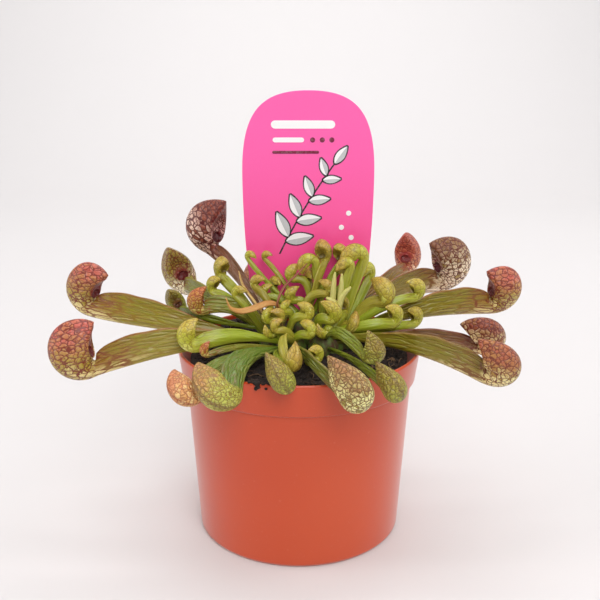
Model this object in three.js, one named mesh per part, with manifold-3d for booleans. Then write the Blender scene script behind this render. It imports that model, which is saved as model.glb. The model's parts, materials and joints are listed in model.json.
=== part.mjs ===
// A potted parrot pitcher plant, millimetres, +Z up.
// The origin is the centre of the pot's underside, which stands on z = 0, and the front is -Y.
import * as THREE from 'three';
import * as BufferGeometryUtils from 'three/addons/utils/BufferGeometryUtils.js';
import Module from 'manifold-3d';

const wasm = await Module();
wasm.setup();

// driving dimensions
const gap = 0.3; // clearance between pieces that touch
const detailLimit = 0.1; // no joint keeps a finer step than this
const pot = {
  height: 72, footRadius: 38.3, bodyTopRadius: 42, bandHeight: 12, bandFootRadius: 43.5, rimRadius: 45,
  wall: 1.2, floor: 1.6, rounding: 1.2, lip: 0.5, holeRadius: 3.2, holeRing: 24, holes: 6, sides: 40,
};
const soil = { edge: 67.5, crown: 2.6, spread: 24, roughness: 0.45, sides: 24, rings: 6 };
const soilHeaps = [{ x: 34, y: 19, rise: 7, spread: 6 }, { x: -25, y: 31, rise: 4.2, spread: 12 }];
const tag = {
  x: 3.5, y: 21, thickness: 0.8, top: 163, width: 50, widest: 132, shoulder: 18, drop: 8,
  waistWidth: 46, waist: 92, flare: 5, stakeTop: 78, stakeWidth: 12, stakeFoot: 34, tip: 26,
};

// what every pitcher has unless its own line says otherwise
const usual = {
  roll: 0, turn: 95, arm: 0.42, wide: 0.41, footShare: 0.42, curl: 0.12, dish: 0.08, beak: 0.1,
  lowering: 0.2,
};
const young = { footShare: 0.8, wing: 0.5 }; // young ones are nearly as thick at the foot as at the hood
const footDepth = 1.2; // how far a pitcher's foot is set into its growing point
// a tube is a little narrower than it is high, and a wing stands on its top
const tubeForm = {
  halfWidth: 0.46, wingEdge: 0.35, wingRoot: THREE.MathUtils.degToRad(64), fullWing: 0.8,
  wingStart: 0.05, wingGrows: 0.6, wingFades: 0.72, wingRise: 0.8, wingTaper: 2.6, grownBy: 0.95,
};
// how a hood grows round the mouth's corner: shares of its whole turn, of its height or of its width
const hoodForm = {
  corner: 0.05, highestAt: 0.73, widestAt: 0.62, narrowsFrom: 0.75, narrowing: 0.18,
  pointedFrom: 0.5, pointed: 0.55, curlsFrom: 0.55, beakSpread: 0.09,
  mouth: 0.3, mouthWidth: 0.55, rim: 0.96, funnel: 0.9, funnelWidth: 0.4, faceTurn: 22, funnelTurn: 14,
  swelling: 1.5, faceTurnsFrom: 0.25, faceCurve: 1.1, faceNarrowing: 1.3, faceFlattening: 0.45,
  beakSharpness: 8, curlPower: 3, beakOut: 0.8, beakOn: 0.6,
};
const grownDetail = { sides: 8, tubeSteps: 6, hoodSteps: 6, faceSteps: 2 };
const samePlace = 1e-4; // points nearer to each other than this are one
const coreDetail = { around: 12, down: 8 };
const drainSides = 12;
const tagCurveSteps = 7;
const youngDetail = { sides: 7, tubeSteps: 4, hoodSteps: 4, faceSteps: 1 };

// the thick ends of the rootstock, which stand in the soil and which the leaves rise from
const growingPoints = {
  west: { at: [-9, 6, 71], radius: 6, rise: 7 },
  north: { at: [5, 9, 73], radius: 7, rise: 9 },
  east: { at: [13, 4, 72], radius: 6.5, rise: 8 },
  south: { at: [-3, -4, 71], radius: 5.5, rise: 6 },
  southEast: { at: [9, -3, 71], radius: 5.5, rise: 6.5 },
};

// grown pitchers: each starts on a growing point, a rise above its middle, on the bearing of its mouth,
// aim is [heading, lift] in degrees where the tube meets the hood, roll leans the hood about its tube,
// and hood, tube and wing are heights at the mouth
const grownPitchers = [
  { name: 'pitcher_left_low', from: 'south', rise: 4.5, mouth: [-72.2, -20, 72.7], aim: [183, -12],
    roll: -6, arm: 0.45, hood: 17.4, tube: 5.5, wing: 6, turn: 104, lowering: 0.32, curl: 0, beak: 0.02,
    dish: 0.1, colour: 'red' },
  { name: 'pitcher_left_high', from: 'west', rise: -0.5, mouth: [-78.5, 14, 84.5], aim: [152, 11],
    hood: 15, tube: 6.5, wing: 6, turn: 112, lowering: 0.34, curl: 0, beak: 0.02, dish: 0.26,
    colour: 'red' },
  { name: 'pitcher_left_back', from: 'west', rise: 2, mouth: [-46, 36, 86], aim: [110, -6], roll: -25,
    hood: 16, tube: 5.5, wing: 3.5, turn: 90, colour: 'olive' },
  { name: 'pitcher_left_tall', from: 'west', rise: 4, mouth: [-32.4, 38, 100.8], aim: [156, 46], roll: -8,
    arm: 0.3, hood: 18.7, tube: 6, wing: 1.2, turn: 55, lowering: 0, curl: 0.04, beak: 0.04,
    colour: 'maroon' },
  { name: 'pitcher_left_small', from: 'west', rise: 4, mouth: [-46, 16, 80.5], aim: [112, 0], roll: -30,
    hood: 9, tube: 3.4, wing: 2.5, turn: 90, colour: 'green' },
  { name: 'pitcher_left_middle', from: 'west', rise: 4, mouth: [-35.5, 4, 85.5], aim: [178, -6],
    hood: 7, tube: 3.6, wing: 3.5, colour: 'green' },
  { name: 'pitcher_left_curled', from: 'south', rise: 3, mouth: [-36, -22, 81.5], aim: [186, -8],
    hood: 6.9, tube: 5.4, wing: 1, turn: 104, lowering: 0.28, curl: 0.02, beak: 0.04, colour: 'lime' },
  { name: 'pitcher_left_tiny', from: 'south', rise: 1, mouth: [-31.5, -24, 77], aim: [198, -8],
    hood: 3.4, tube: 2.2, wing: 0.6, turn: 98, colour: 'olive' },
  { name: 'pitcher_right_high', from: 'east', rise: 3, mouth: [73.5, 16, 85], aim: [17, 2], roll: 18,
    hood: 14.4, tube: 6.6, wing: 5.5, turn: 104, lowering: 0.32, curl: 0, beak: 0.02, dish: 0.2,
    colour: 'red' },
  { name: 'pitcher_right_low', from: 'southEast', rise: 5, mouth: [65.6, -23, 71.1], aim: [345, -19],
    roll: 28, hood: 13.1, tube: 7, wing: 4.8, turn: 117, lowering: 0.2, curl: 0.04, beak: 0.04,
    colour: 'green' },
  { name: 'pitcher_right_middle', from: 'southEast', rise: 2, mouth: [66.3, -3, 73], aim: [350, -9.5],
    roll: 24, hood: 12, tube: 4.4, wing: 3, turn: 136, lowering: 0.26, curl: 0.02, beak: 0.04, dish: 0.12,
    colour: 'maroon' },
  { name: 'pitcher_right_back', from: 'east', rise: 4, mouth: [55.9, 37.1, 88.9], aim: [20, 9], roll: 15,
    hood: 17, tube: 7.6, wing: 4.5, turn: 102, lowering: 0.22, curl: 0, beak: 0.02, dish: 0.12,
    colour: 'olive' },
  { name: 'pitcher_right_far', from: 'north', rise: 3, mouth: [45, 54, 88.5], aim: [72, 3],
    hood: 14, tube: 5, wing: 3, turn: 88, colour: 'maroon' },
  { name: 'pitcher_front_left', from: 'south', rise: -0.5, mouth: [-34, -47, 72.2], aim: [255, -16],
    roll: 60, hood: 9.6, tube: 3.6, wing: 2, turn: 100, colour: 'gold' },
  { name: 'pitcher_front_broad', from: 'south', rise: 1.5, mouth: [-23.2, -50, 74], aim: [264, -16],
    roll: 58, hood: 12.5, tube: 5, wing: 4, turn: 100, colour: 'gold' },
  { name: 'pitcher_front_middle', from: 'south', rise: 0, mouth: [-5.5, -46, 76], aim: [285, -14],
    roll: 34, hood: 10, tube: 3.6, wing: 2, turn: 100, colour: 'green' },
  { name: 'pitcher_front_right', from: 'south', rise: 2, mouth: [13.9, -51, 74.2], aim: [320, -26],
    roll: 31, hood: 14, tube: 4.6, wing: 2.5, turn: 108, colour: 'gold' },
  { name: 'pitcher_front_corner', from: 'southEast', rise: 1, mouth: [28.4, -46.5, 73.5], aim: [311, -24],
    roll: 30, hood: 10, tube: 3.6, wing: 0.8, turn: 105, arm: 0.3, colour: 'green' },
  { name: 'pitcher_front_inner', from: 'southEast', rise: 4.5, mouth: [21.6, -36.4, 82.1], aim: [338, -35],
    roll: 18, hood: 8.1, tube: 3.4, wing: 1.5, turn: 100, colour: 'lime' },
  { name: 'pitcher_back_left', from: 'west', rise: 0, mouth: [-17, 54, 78], aim: [112, 3],
    hood: 13, tube: 5, wing: 4, colour: 'red' },
  { name: 'pitcher_back_middle', from: 'west', rise: 2, mouth: [1, 60, 84], aim: [90, 8],
    hood: 14, tube: 5, wing: 4, colour: 'olive' },
  { name: 'pitcher_back_right', from: 'east', rise: 0, mouth: [22, 56, 78], aim: [80, 4],
    hood: 14, tube: 5, wing: 4, colour: 'red' },
];

// young pitchers are joined to the growing point that they rise from
const clumps = [
  { name: 'young_pitchers_left', on: 'west', pitchers: [
    { foot: [-12, 9, 74], mouth: [-29, 16, 94.5], aim: [120, 25], hood: 6.7, tube: 4.1, wing: 1 },
    { foot: [-13, 7, 73], mouth: [-32, 14, 89], aim: [136, 14],
      hood: 5.1, tube: 3.6, wing: 0.8, turn: 105 },
    { foot: [-13, 5, 74], mouth: [-22.4, 4, 89.5], aim: [165, 55], hood: 3.5, tube: 2.7, turn: 100 },
    { foot: [-9, 8, 76], mouth: [-15.5, 9, 92], aim: [150, 40], hood: 3.9, tube: 3, turn: 100 },
    { foot: [-8, 9, 76], mouth: [-9, 13, 90], aim: [120, 55], hood: 4.4, tube: 3.4 },
  ] },
  { name: 'young_pitchers_back', on: 'north', pitchers: [
    { foot: [4, 7, 80], mouth: [-1.5, 10, 95.5], aim: [190, 6], hood: 4.4, tube: 3, turn: 108 },
    { foot: [3, 5, 78], mouth: [-1.5, 6, 88], aim: [184, 2], roll: -6, hood: 4.4, tube: 2.8, turn: 100 },
    { foot: [9, 5, 79], mouth: [4.5, 8, 100], aim: [180, 68], roll: 180, hood: 5.2, tube: 3.2, turn: 112 },
    { foot: [3, 8, 80], mouth: [9, 10, 101.5], aim: [80, 24],
      roll: -10, hood: 7.8, tube: 3, wing: 1, turn: 90 },
    { foot: [5, 9, 80], mouth: [15.5, 14, 100], aim: [70, 24],
      roll: -12, hood: 6.8, tube: 3, wing: 1, turn: 86 },
    { foot: [1, 9, 80], mouth: [-18.7, 13, 101.6], aim: [155, 66],
      arm: 0.25, hood: 2.8, tube: 1.8, turn: 112 },
    { foot: [2, 10, 81], mouth: [-12.3, 14, 101.2], aim: [152, 48],
      arm: 0.3, hood: 2.8, tube: 1.8, turn: 100 },
    { foot: [1, 5, 80], mouth: [9.6, 2, 92], aim: [352, 8], arm: 0.5, hood: 4, tube: 3, turn: 112 },
    { foot: [8, 6, 80], mouth: [18.5, 10, 95], aim: [20, 50], hood: 4.2, tube: 3, turn: 105 },
    { foot: [0, 7, 79], mouth: [-12, 10, 88.5], aim: [175, 12], hood: 3.6, tube: 2.6, turn: 105 },
    { foot: [4, 9, 81], mouth: [4, 12.5, 93], aim: [100, 60], hood: 5, tube: 3.2 },
  ] },
  { name: 'young_pitchers_right', on: 'east', pitchers: [
    { foot: [16, 6, 76], mouth: [22, 9, 101.5], aim: [8, 82], hood: 7, tube: 3.9, turn: 110 },
    { foot: [17, 7, 75], mouth: [25.5, 12, 95], aim: [30, 75], roll: 8, hood: 5.7, tube: 3.9, turn: 110 },
    { foot: [14, 3, 77], mouth: [17.5, 5, 99.5], aim: [28, 80], hood: 4.4, tube: 3.4, turn: 105 },
    { foot: [17, 2, 75], mouth: [30, 1, 89.5], aim: [320, 28], roll: -8, hood: 7.6, tube: 4.1, wing: 1.2 },
    { foot: [17, 3, 75], mouth: [42.5, 3, 90.5], aim: [25, 8], roll: 6, hood: 5.7, tube: 3.6, turn: 112 },
    { foot: [18, 4, 74.5], mouth: [42.6, 4.4, 79.4], aim: [36, 6],
      roll: 8, hood: 5.5, tube: 3.6, turn: 112 },
  ] },
  { name: 'young_pitchers_front', on: 'south', pitchers: [
    { foot: [-4, -3, 76], mouth: [2, -8, 86], aim: [342, 8], roll: -6, hood: 4.2, tube: 3.2, turn: 120 },
    { foot: [-3, -6, 74], mouth: [3, -12, 80.5], aim: [325, 22],
      roll: -8, hood: 4.2, tube: 3.2, turn: 120 },
    { foot: [-4, -2, 76], mouth: [-4.5, -4, 86.5], aim: [215, 22],
      roll: 8, hood: 3.2, tube: 2.5, turn: 105 },
    { foot: [-5, -4, 75], mouth: [-8, -7, 84], aim: [25, 16], hood: 3.5, tube: 2.7, turn: 115 },
    { foot: [-7, -3, 74], mouth: [-11, -5, 83.5], aim: [218, 25],
      roll: 6, hood: 3.5, tube: 2.7, turn: 105 },
    { foot: [-6, -6, 73], mouth: [-10, -10, 80], aim: [210, -60], hood: 3.5, tube: 2.7 },
    { foot: [-1, -7, 74], mouth: [-7.5, -11, 81.5], aim: [192, 10],
      roll: 6, hood: 3.2, tube: 2.5, turn: 110 },
    { foot: [-2, -8, 74.5], mouth: [-3.8, -33, 78.4], aim: [300, -45],
      roll: -8, hood: 7.2, tube: 3.4, wing: 1.2 },
  ] },
  { name: 'young_pitchers_middle', on: 'southEast', pitchers: [
    { foot: [10, -2, 76], mouth: [16.5, 0, 84.5], aim: [85, 15],
      hood: 5.5, tube: 3.2, wing: 0.8, turn: 92 },
    { foot: [7, -3, 76], mouth: [10.5, -8, 85.5], aim: [352, 4],
      roll: 10, hood: 5.5, tube: 4.1, turn: 108 },
    { foot: [9, -4, 76], mouth: [9.5, -9, 80], aim: [200, -62], hood: 3.9, tube: 3 },
    { foot: [10, -1, 76], mouth: [19, -4, 80.5], aim: [284, -1], roll: -25, hood: 5.1, tube: 3.4 },
    { foot: [12, -1, 76], mouth: [33.5, -5, 83], aim: [32, 2], roll: 8, hood: 5.7, tube: 4.3, turn: 112 },
    { foot: [6, -7, 73], mouth: [5.5, -24, 75], aim: [40, 18], hood: 4.2, tube: 3.2, turn: 112 },
  ] },
];

// withered leaves and shut buds are plain straps along a path, from the growing point to the tip
const straps = [
  { name: 'withered_leaf_curved', colour: 'straw', leaves: [
    { path: [[-6, -3, 75], [-6.4, -1.4, 82], [-7.8, -1.8, 87], [-11.2, -3.2, 88.2], [-15, -4.6, 87.3],
      [-18.4, -5.7, 86.4], [-21.8, -7.1, 86.3], [-24.8, -8.2, 88], [-26.3, -8.6, 91.7]],
      width: 1.5, thickness: 3.8 },
  ] },
  { name: 'withered_leaf_thin', colour: 'straw', leaves: [
    { path: [[-10, 4, 75], [-13, 2, 82], [-17, 3, 87.5], [-21, 5, 93], [-22.5, 6, 98]],
      width: 2.2, thickness: 1.2 },
  ] },
  { name: 'withered_leaf_twisted', colour: 'maroon', leaves: [
    { path: [[-5, -2, 75], [-8, -2, 83], [-7.5, -4, 90], [-5, -2, 94.5], [-0.5, 0, 98.5], [3, 2, 102]],
      width: 2.4, thickness: 1 },
  ] },
  { name: 'buds', colour: 'bud', leaves: [
    { path: [[11.5, -4.5, 75], [12, -4, 83], [12.5, -3, 92], [13.1, -2.5, 99.8]],
      width: 2.8, thickness: 2.4 },
    { path: [[12, -4.5, 75], [14, -4, 83], [15.2, -3, 92], [15.6, -2.5, 99.2]],
      width: 2.8, thickness: 2.4 },
    { path: [[12, -4.5, 76], [14, -4, 84], [15.6, -3.5, 90.5], [18.8, -4, 94.6]],
      width: 3.4, thickness: 2.8 },
    { path: [[11.5, -4.5, 76], [12.5, -4, 84], [12.8, -4, 88.5], [9.9, -5, 90.8]],
      width: 3.8, thickness: 3.2 },
  ] },
];
const strapForm = { sides: 6, steps: 7, ends: 0.35, tipLoss: 0.12, widestLate: 1.6, fullness: 0.8 };

const colours = {
  terracotta: 0xc4533a, peat: 0x2a1d17, pink: 0xff5fa6, red: 0xa85a45, maroon: 0x7a2c2c, olive: 0x8a8a45,
  green: 0x7f9a3c, lime: 0xa3b84a, gold: 0xc7a765, straw: 0xb98a55, bud: 0xd9dc90,
};

// the part starts here
const part = new THREE.Group();
part.name = 'potted_parrot_pitcher_plant';

const up = new THREE.Vector3(0, 0, 1);
const radians = THREE.MathUtils.degToRad;

function smooth(x) {
  return THREE.MathUtils.smoothstep(x, 0, 1);
}

function material(colour, roughness = 0.6) {
  return new THREE.MeshStandardMaterial({ color: colours[colour], roughness, metalness: 0 });
}

// a closed skin over a stack of rings that run anticlockwise about the way they are stacked
function skin(rings) {
  const sides = rings[0].length;
  const first = new THREE.Vector3();
  const last = new THREE.Vector3();
  rings[0].forEach((point) => first.addScaledVector(point, 1 / sides));
  rings.at(-1).forEach((point) => last.addScaledVector(point, 1 / sides));
  const points = [...rings.flat(), first, last];
  const faces = [];
  for (let j = 0; j < sides; j += 1) {
    const k = (j + 1) % sides;
    for (let i = 0; i < rings.length - 1; i += 1) {
      const near = i * sides;
      const far = near + sides;
      faces.push(near + j, near + k, far + k, near + j, far + k, far + j);
    }
    const end = (rings.length - 1) * sides;
    faces.push(points.length - 2, k, j, points.length - 1, end + j, end + k);
  }
  const geometry = new THREE.BufferGeometry().setFromPoints(points);
  geometry.setIndex(faces);
  return geometry;
}

// one vertex for each place, and no face that has lost a side at a pole or on the axis
function welded(geometry) {
  const bare = geometry.clone();
  bare.deleteAttribute('normal');
  bare.deleteAttribute('uv');
  const merged = BufferGeometryUtils.mergeVertices(bare, samePlace);
  const corners = merged.index.array;
  const kept = [];
  for (let i = 0; i < corners.length; i += 3) {
    const [a, b, c] = corners.slice(i, i + 3);
    if (a !== b && b !== c && c !== a) {
      kept.push(a, b, c);
    }
  }
  merged.setIndex(kept);
  return merged;
}

function toSolid(geometry) {
  const { attributes, index } = welded(geometry);
  return new wasm.Manifold(new wasm.Mesh({
    numProp: 3,
    vertProperties: new Float32Array(attributes.position.array),
    triVerts: new Uint32Array(index.array),
  }));
}

function toGeometry(solid) {
  const mesh = solid.getMesh();
  const geometry = new THREE.BufferGeometry();
  geometry.setAttribute('position', new THREE.BufferAttribute(new Float32Array(mesh.vertProperties), 3));
  geometry.setIndex(new THREE.BufferAttribute(new Uint32Array(mesh.triVerts), 1));
  return geometry;
}

// the same shape with every point moved out along its normal
function swollen(geometry, amount) {
  const merged = welded(geometry);
  merged.computeVertexNormals();
  const { position, normal } = merged.attributes;
  for (let i = 0; i < position.count; i += 1) {
    position.setXYZ(i, position.getX(i) + normal.getX(i) * amount,
      position.getY(i) + normal.getY(i) * amount, position.getZ(i) + normal.getZ(i) * amount);
  }
  return merged;
}

function largestBody(solid) {
  return solid.decompose().reduce((best, next) => (next.volume() > best.volume() ? next : best));
}

// a ring across a tube, with a thin wing standing on its top
function tubeRing(sides, centre, upward, sideways, thickness, wing) {
  const ring = [];
  const { wingRoot, wingEdge, wingRise, wingTaper } = tubeForm;
  const high = thickness / 2;
  const wide = thickness * tubeForm.halfWidth;
  const rootHeight = high * Math.cos(wingRoot);
  const rootWidth = wide * Math.sin(wingRoot);
  const blend = Math.min(1, wing / tubeForm.fullWing);
  for (let j = 0; j < sides; j += 1) {
    const angle = ((j + 0.5) * 2 * Math.PI) / sides;
    const fromTop = Math.min(angle, 2 * Math.PI - angle);
    const climb = Math.min(1, (wingRoot - fromTop) / (wingRoot - Math.PI / sides));
    let height = high * Math.cos(angle);
    let width = wide * Math.sin(angle);
    if (climb > 0) {
      const bladeHeight = rootHeight + (high + wing - rootHeight) * climb ** wingRise;
      const bladeWidth = wingEdge + (rootWidth - wingEdge) * (1 - climb) ** wingTaper;
      height += (bladeHeight - height) * blend;
      width += (Math.sign(width) * bladeWidth - width) * blend;
    }
    ring.push(centre.clone().addScaledVector(upward, height).addScaledVector(sideways, width));
  }
  return ring;
}

// where the hood starts and which way it faces, from the mouth's place and the aim
function pitcherFrame(shape) {
  const foot = new THREE.Vector3(...shape.foot);
  const mouth = new THREE.Vector3(...shape.mouth);
  const [heading, lift] = shape.aim.map(radians);
  const along = new THREE.Vector3(
    Math.cos(lift) * Math.cos(heading), Math.cos(lift) * Math.sin(heading), Math.sin(lift));
  const upward = up.clone().addScaledVector(along, -along.z).normalize();
  upward.applyAxisAngle(along, radians(shape.roll));
  const sideways = along.clone().cross(upward);
  return { foot, mouth, along, upward, sideways };
}

// the tube follows a quadratic curve that ends just under the mouth's corner
function tubeRings(shape, frame, detail) {
  const { foot, mouth, along, upward } = frame;
  const { wingStart, wingGrows, wingFades, grownBy } = tubeForm;
  const via = mouth.clone().addScaledVector(along, -shape.arm * mouth.distanceTo(foot));
  const end = mouth.clone().addScaledVector(upward, -shape.fillet - shape.tube / 2);
  const curve = new THREE.QuadraticBezierCurve3(foot, via, end);
  const last = detail.tubeSteps - 1;
  const rings = [];
  const lean = upward.clone();
  for (let i = last; i >= 0; i -= 1) {
    const s = i / last;
    const tangent = i === last ? along : curve.getTangent(s);
    lean.addScaledVector(tangent, -lean.dot(tangent)).normalize();
    const thickness = shape.tube * (shape.footShare + (1 - shape.footShare) * smooth(s / grownBy));
    const fade = Math.sqrt(Math.max(0, 1 - Math.max(0, (s - wingFades) / (1 - wingFades)) ** 2));
    const wing = shape.wing * smooth((s - wingStart) / wingGrows) * fade;
    const sideways = tangent.clone().cross(lean);
    rings.unshift(tubeRing(detail.sides, curve.getPoint(s), lean, sideways, thickness, wing));
  }
  return rings;
}

// one half-plane of the hood, turned by an angle about the mouth's corner, its tip drawn out to a beak
function fanRing(shape, frame, sides, { angle, reach, width, share, point }) {
  const { mouth, along, upward, sideways } = frame;
  const { curlsFrom, beakSpread, beakSharpness, curlPower, beakOut, beakOn } = hoodForm;
  const outward = along.clone().multiplyScalar(Math.cos(angle)).addScaledVector(upward, Math.sin(angle));
  const onward = along.clone().multiplyScalar(-Math.sin(angle)).addScaledVector(upward, Math.cos(angle));
  const late = smooth((share - curlsFrom) / (1 - curlsFrom));
  const atTip = Math.exp(-(((share - 1) / beakSpread) ** 2));
  const ring = [];
  for (let j = 0; j < sides; j += 1) {
    const around = ((j + 0.5) * 2 * Math.PI) / sides;
    const out = (1 - Math.cos(around)) / 2;
    const beak = out ** beakSharpness * shape.beak * shape.hood * atTip;
    const curl = late * shape.hood * (shape.curl * out ** curlPower - shape.dish * Math.sin(Math.PI * out));
    ring.push(mouth.clone()
      .addScaledVector(outward, shape.fillet + (reach - shape.fillet) * out + beak * beakOut)
      .addScaledVector(onward, curl + beak * beakOn)
      .addScaledVector(sideways, width * Math.sin(around) * (1 - point * out ** curlPower)));
  }
  return ring;
}

// the hood's back, then its face round the mouth, then the mouth's blind funnel
function hoodRings(shape, frame, { sides, hoodSteps, faceSteps }) {
  const { hood, tube, fillet } = shape;
  const form = hoodForm;
  const turn = radians(shape.turn);
  const start = -Math.PI / 2;
  const narrowest = tube * tubeForm.halfWidth;
  const rings = [];
  let reach = 0;
  let width = 0;
  for (let i = 1; i <= hoodSteps; i += 1) {
    const share = i / hoodSteps;
    const risen = (Math.min(share, form.highestAt) / form.highestAt) ** form.swelling;
    const rise = Math.sin((Math.PI / 2) * risen);
    const fall = 1 - shape.lowering * (Math.max(0, share - form.highestAt) / (1 - form.highestAt)) ** 2;
    reach = fillet + tube + (hood - tube - fillet) * rise * fall;
    width = narrowest + (shape.wide * hood - narrowest) * smooth(share / form.widestAt);
    width *= 1 - form.narrowing * smooth((share - form.narrowsFrom) / (1 - form.narrowsFrom));
    const angle = start + (turn - start) * share;
    const point = form.pointed * smooth((share - form.pointedFrom) / (1 - form.pointedFrom));
    rings.push(fanRing(shape, frame, sides, { angle, reach, width, share, point }));
  }
  const mouth = form.mouth * hood;
  for (let i = 1; i <= faceSteps; i += 1) {
    const q = i / faceSteps;
    const angle = turn - radians(form.faceTurn) * smooth((q - form.faceTurnsFrom) / (1 - form.faceTurnsFrom));
    const faceReach = reach + (mouth - reach) * q ** form.faceCurve;
    const rimWidth = width * form.rim;
    const faceWidth = rimWidth + (mouth * form.mouthWidth - rimWidth) * q ** form.faceNarrowing;
    const flattened = 1 - form.faceFlattening * q;
    rings.push(fanRing(shape, frame, sides,
      { angle, reach: faceReach, width: faceWidth, share: flattened, point: form.pointed * (1 - q) }));
  }
  const angle = turn - radians(form.faceTurn + form.funnelTurn);
  rings.push(fanRing(shape, frame, sides,
    { angle, reach: mouth * form.funnel, width: mouth * form.funnelWidth, share: 0, point: 0 }));
  return rings;
}

function pitcherGeometry(options, detail) {
  const shape = { ...usual, ...options };
  shape.fillet = hoodForm.corner * shape.hood;
  const frame = pitcherFrame(shape);
  return skin([...tubeRings(shape, frame, detail), ...hoodRings(shape, frame, detail)]);
}

// a leaf with no hood: a flattened tube along a curve, widest a little past its middle, its tip the finest
function strapGeometry({ path, width, thickness }) {
  const curve = new THREE.CatmullRomCurve3(path.map((point) => new THREE.Vector3(...point)));
  const { sides, steps, ends, tipLoss, widestLate, fullness } = strapForm;
  const frames = curve.computeFrenetFrames(steps);
  const rings = [];
  for (let i = 0; i <= steps; i += 1) {
    const s = i / steps;
    const swell = ends + (1 - ends) * Math.sin(Math.PI * s ** widestLate) ** fullness - tipLoss * s;
    const ring = [];
    for (let j = 0; j < sides; j += 1) {
      const around = (j * 2 * Math.PI) / sides;
      ring.push(curve.getPointAt(s)
        .addScaledVector(frames.normals[i], (Math.cos(around) * width * swell) / 2)
        .addScaledVector(frames.binormals[i], (Math.sin(around) * thickness * swell) / 2));
    }
    rings.push(ring);
  }
  return skin(rings);
}

// the pot's outside and inside as one outline, turned about the upright axis
function potOutline() {
  const { height, footRadius, bodyTopRadius, bandHeight, bandFootRadius, rimRadius, wall, floor } = pot;
  const { rounding, lip } = pot;
  const bandFoot = height - bandHeight;
  return [
    [0, 0], [footRadius - rounding, 0], [footRadius, rounding],
    [bodyTopRadius, bandFoot], [bandFootRadius - lip, bandFoot], [bandFootRadius, bandFoot + lip],
    [rimRadius, height - lip], [rimRadius - lip / 2, height],
    [rimRadius - wall + lip / 2, height], [rimRadius - wall, height - lip],
    [bandFootRadius - wall, bandFoot + wall + lip], [bodyTopRadius - wall, bandFoot - lip],
    [footRadius - wall, floor + rounding], [footRadius - wall - rounding, floor], [0, floor],
  ];
}

function turned(outline, sides) {
  const points = outline.map(([x, z]) => new THREE.Vector2(x, z));
  const geometry = new THREE.LatheGeometry(points, sides);
  geometry.rotateX(Math.PI / 2);
  return geometry;
}

// the radius inside the pot at a height
function innerRadius(z) {
  const bandFoot = pot.height - pot.bandHeight;
  const low = [pot.floor, pot.footRadius - pot.wall];
  const high = [bandFoot, pot.bodyTopRadius - pot.wall];
  return THREE.MathUtils.mapLinear(Math.min(z, bandFoot), low[0], high[0], low[1], high[1]);
}

function soilTop(x, y) {
  const dome = soil.crown * Math.exp(-(x * x + y * y) / soil.spread ** 2);
  const heaps = soilHeaps.reduce((sum, heap) => (
    sum + heap.rise * Math.exp(-((x - heap.x) ** 2 + (y - heap.y) ** 2) / heap.spread ** 2)), 0);
  const crumb = Math.sin(x * 0.83 + 1.7 * Math.sin(y * 0.37)) * Math.cos(y * 0.71 - x * 0.29);
  return soil.edge + dome + heaps + soil.roughness * crumb;
}

function soilGeometry() {
  const ring = (radius, height) => {
    const points = [];
    for (let j = 0; j < soil.sides; j += 1) {
      const around = (j * 2 * Math.PI) / soil.sides;
      const x = radius * Math.cos(around);
      const y = radius * Math.sin(around);
      points.push(new THREE.Vector3(x, y, height ?? soilTop(x, y)));
    }
    return points;
  };
  const clear = gap / Math.cos(Math.PI / soil.sides);
  const bottom = pot.floor + gap;
  const shoulder = bottom + pot.rounding;
  const rings = [
    ring(innerRadius(bottom) - clear - pot.rounding, bottom), ring(innerRadius(shoulder) - clear, shoulder),
  ];
  const edgeRadius = innerRadius(soil.edge) - clear;
  for (let i = 0; i < soil.rings; i += 1) {
    rings.push(ring(edgeRadius * (1 - i / soil.rings)));
  }
  return skin(rings);
}

function tagGeometry() {
  const { width, top, widest, shoulder, drop, waistWidth, waist, flare } = tag;
  const { stakeTop, stakeWidth, stakeFoot, tip } = tag;
  const midway = (waist + widest) / 2;
  const shape = new THREE.Shape();
  shape.moveTo(0, tip);
  shape.lineTo(stakeWidth / 2, stakeFoot);
  shape.lineTo(stakeWidth / 2, stakeTop);
  shape.quadraticCurveTo(waistWidth / 2, stakeTop + flare, waistWidth / 2, waist);
  shape.quadraticCurveTo(width / 2, midway, width / 2, widest);
  shape.bezierCurveTo(width / 2, top - drop, shoulder, top, 0, top);
  shape.bezierCurveTo(-shoulder, top, -width / 2, top - drop, -width / 2, widest);
  shape.quadraticCurveTo(-width / 2, midway, -waistWidth / 2, waist);
  shape.quadraticCurveTo(-waistWidth / 2, stakeTop + flare, -stakeWidth / 2, stakeTop);
  shape.lineTo(-stakeWidth / 2, stakeFoot);
  shape.lineTo(0, tip);
  const geometry = new THREE.ExtrudeGeometry(shape,
    { depth: tag.thickness, bevelEnabled: false, curveSegments: tagCurveSteps });
  geometry.rotateX(Math.PI / 2);
  geometry.translate(tag.x, tag.y + tag.thickness, 0);
  return geometry;
}

const placed = []; // a slightly fatter form of every piece so far

// adds a piece, cut clear of the pieces placed before it
function place(name, geometries, colour, roughness = 0.6) {
  const joined = (solids) => solids.reduce((all, next) => all.add(next));
  const solid = joined(geometries.map(toSolid));
  const clear = placed.reduce((left, other) => left.subtract(other), solid);
  const body = largestBody(clear).simplify(detailLimit);
  placed.push(joined(geometries.map((geometry) => toSolid(swollen(geometry, gap)))));
  addMesh(name, body, material(colour, roughness));
}

function addMesh(name, solid, finish) {
  const mesh = new THREE.Mesh(toGeometry(solid), finish);
  mesh.name = name;
  part.add(mesh);
}

// a point just inside a growing point's skin, at a rise above its middle, towards another point
function footOn({ from, rise, mouth }) {
  const { at, radius, rise: half } = growingPoints[from];
  const bearing = Math.atan2(mouth[1] - at[1], mouth[0] - at[0]);
  const out = (radius - footDepth) * Math.sqrt(1 - (rise / half) ** 2);
  return [at[0] + out * Math.cos(bearing), at[1] + out * Math.sin(bearing), at[2] + rise];
}

place('tag', [tagGeometry()], 'pink', 0.4);

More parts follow.
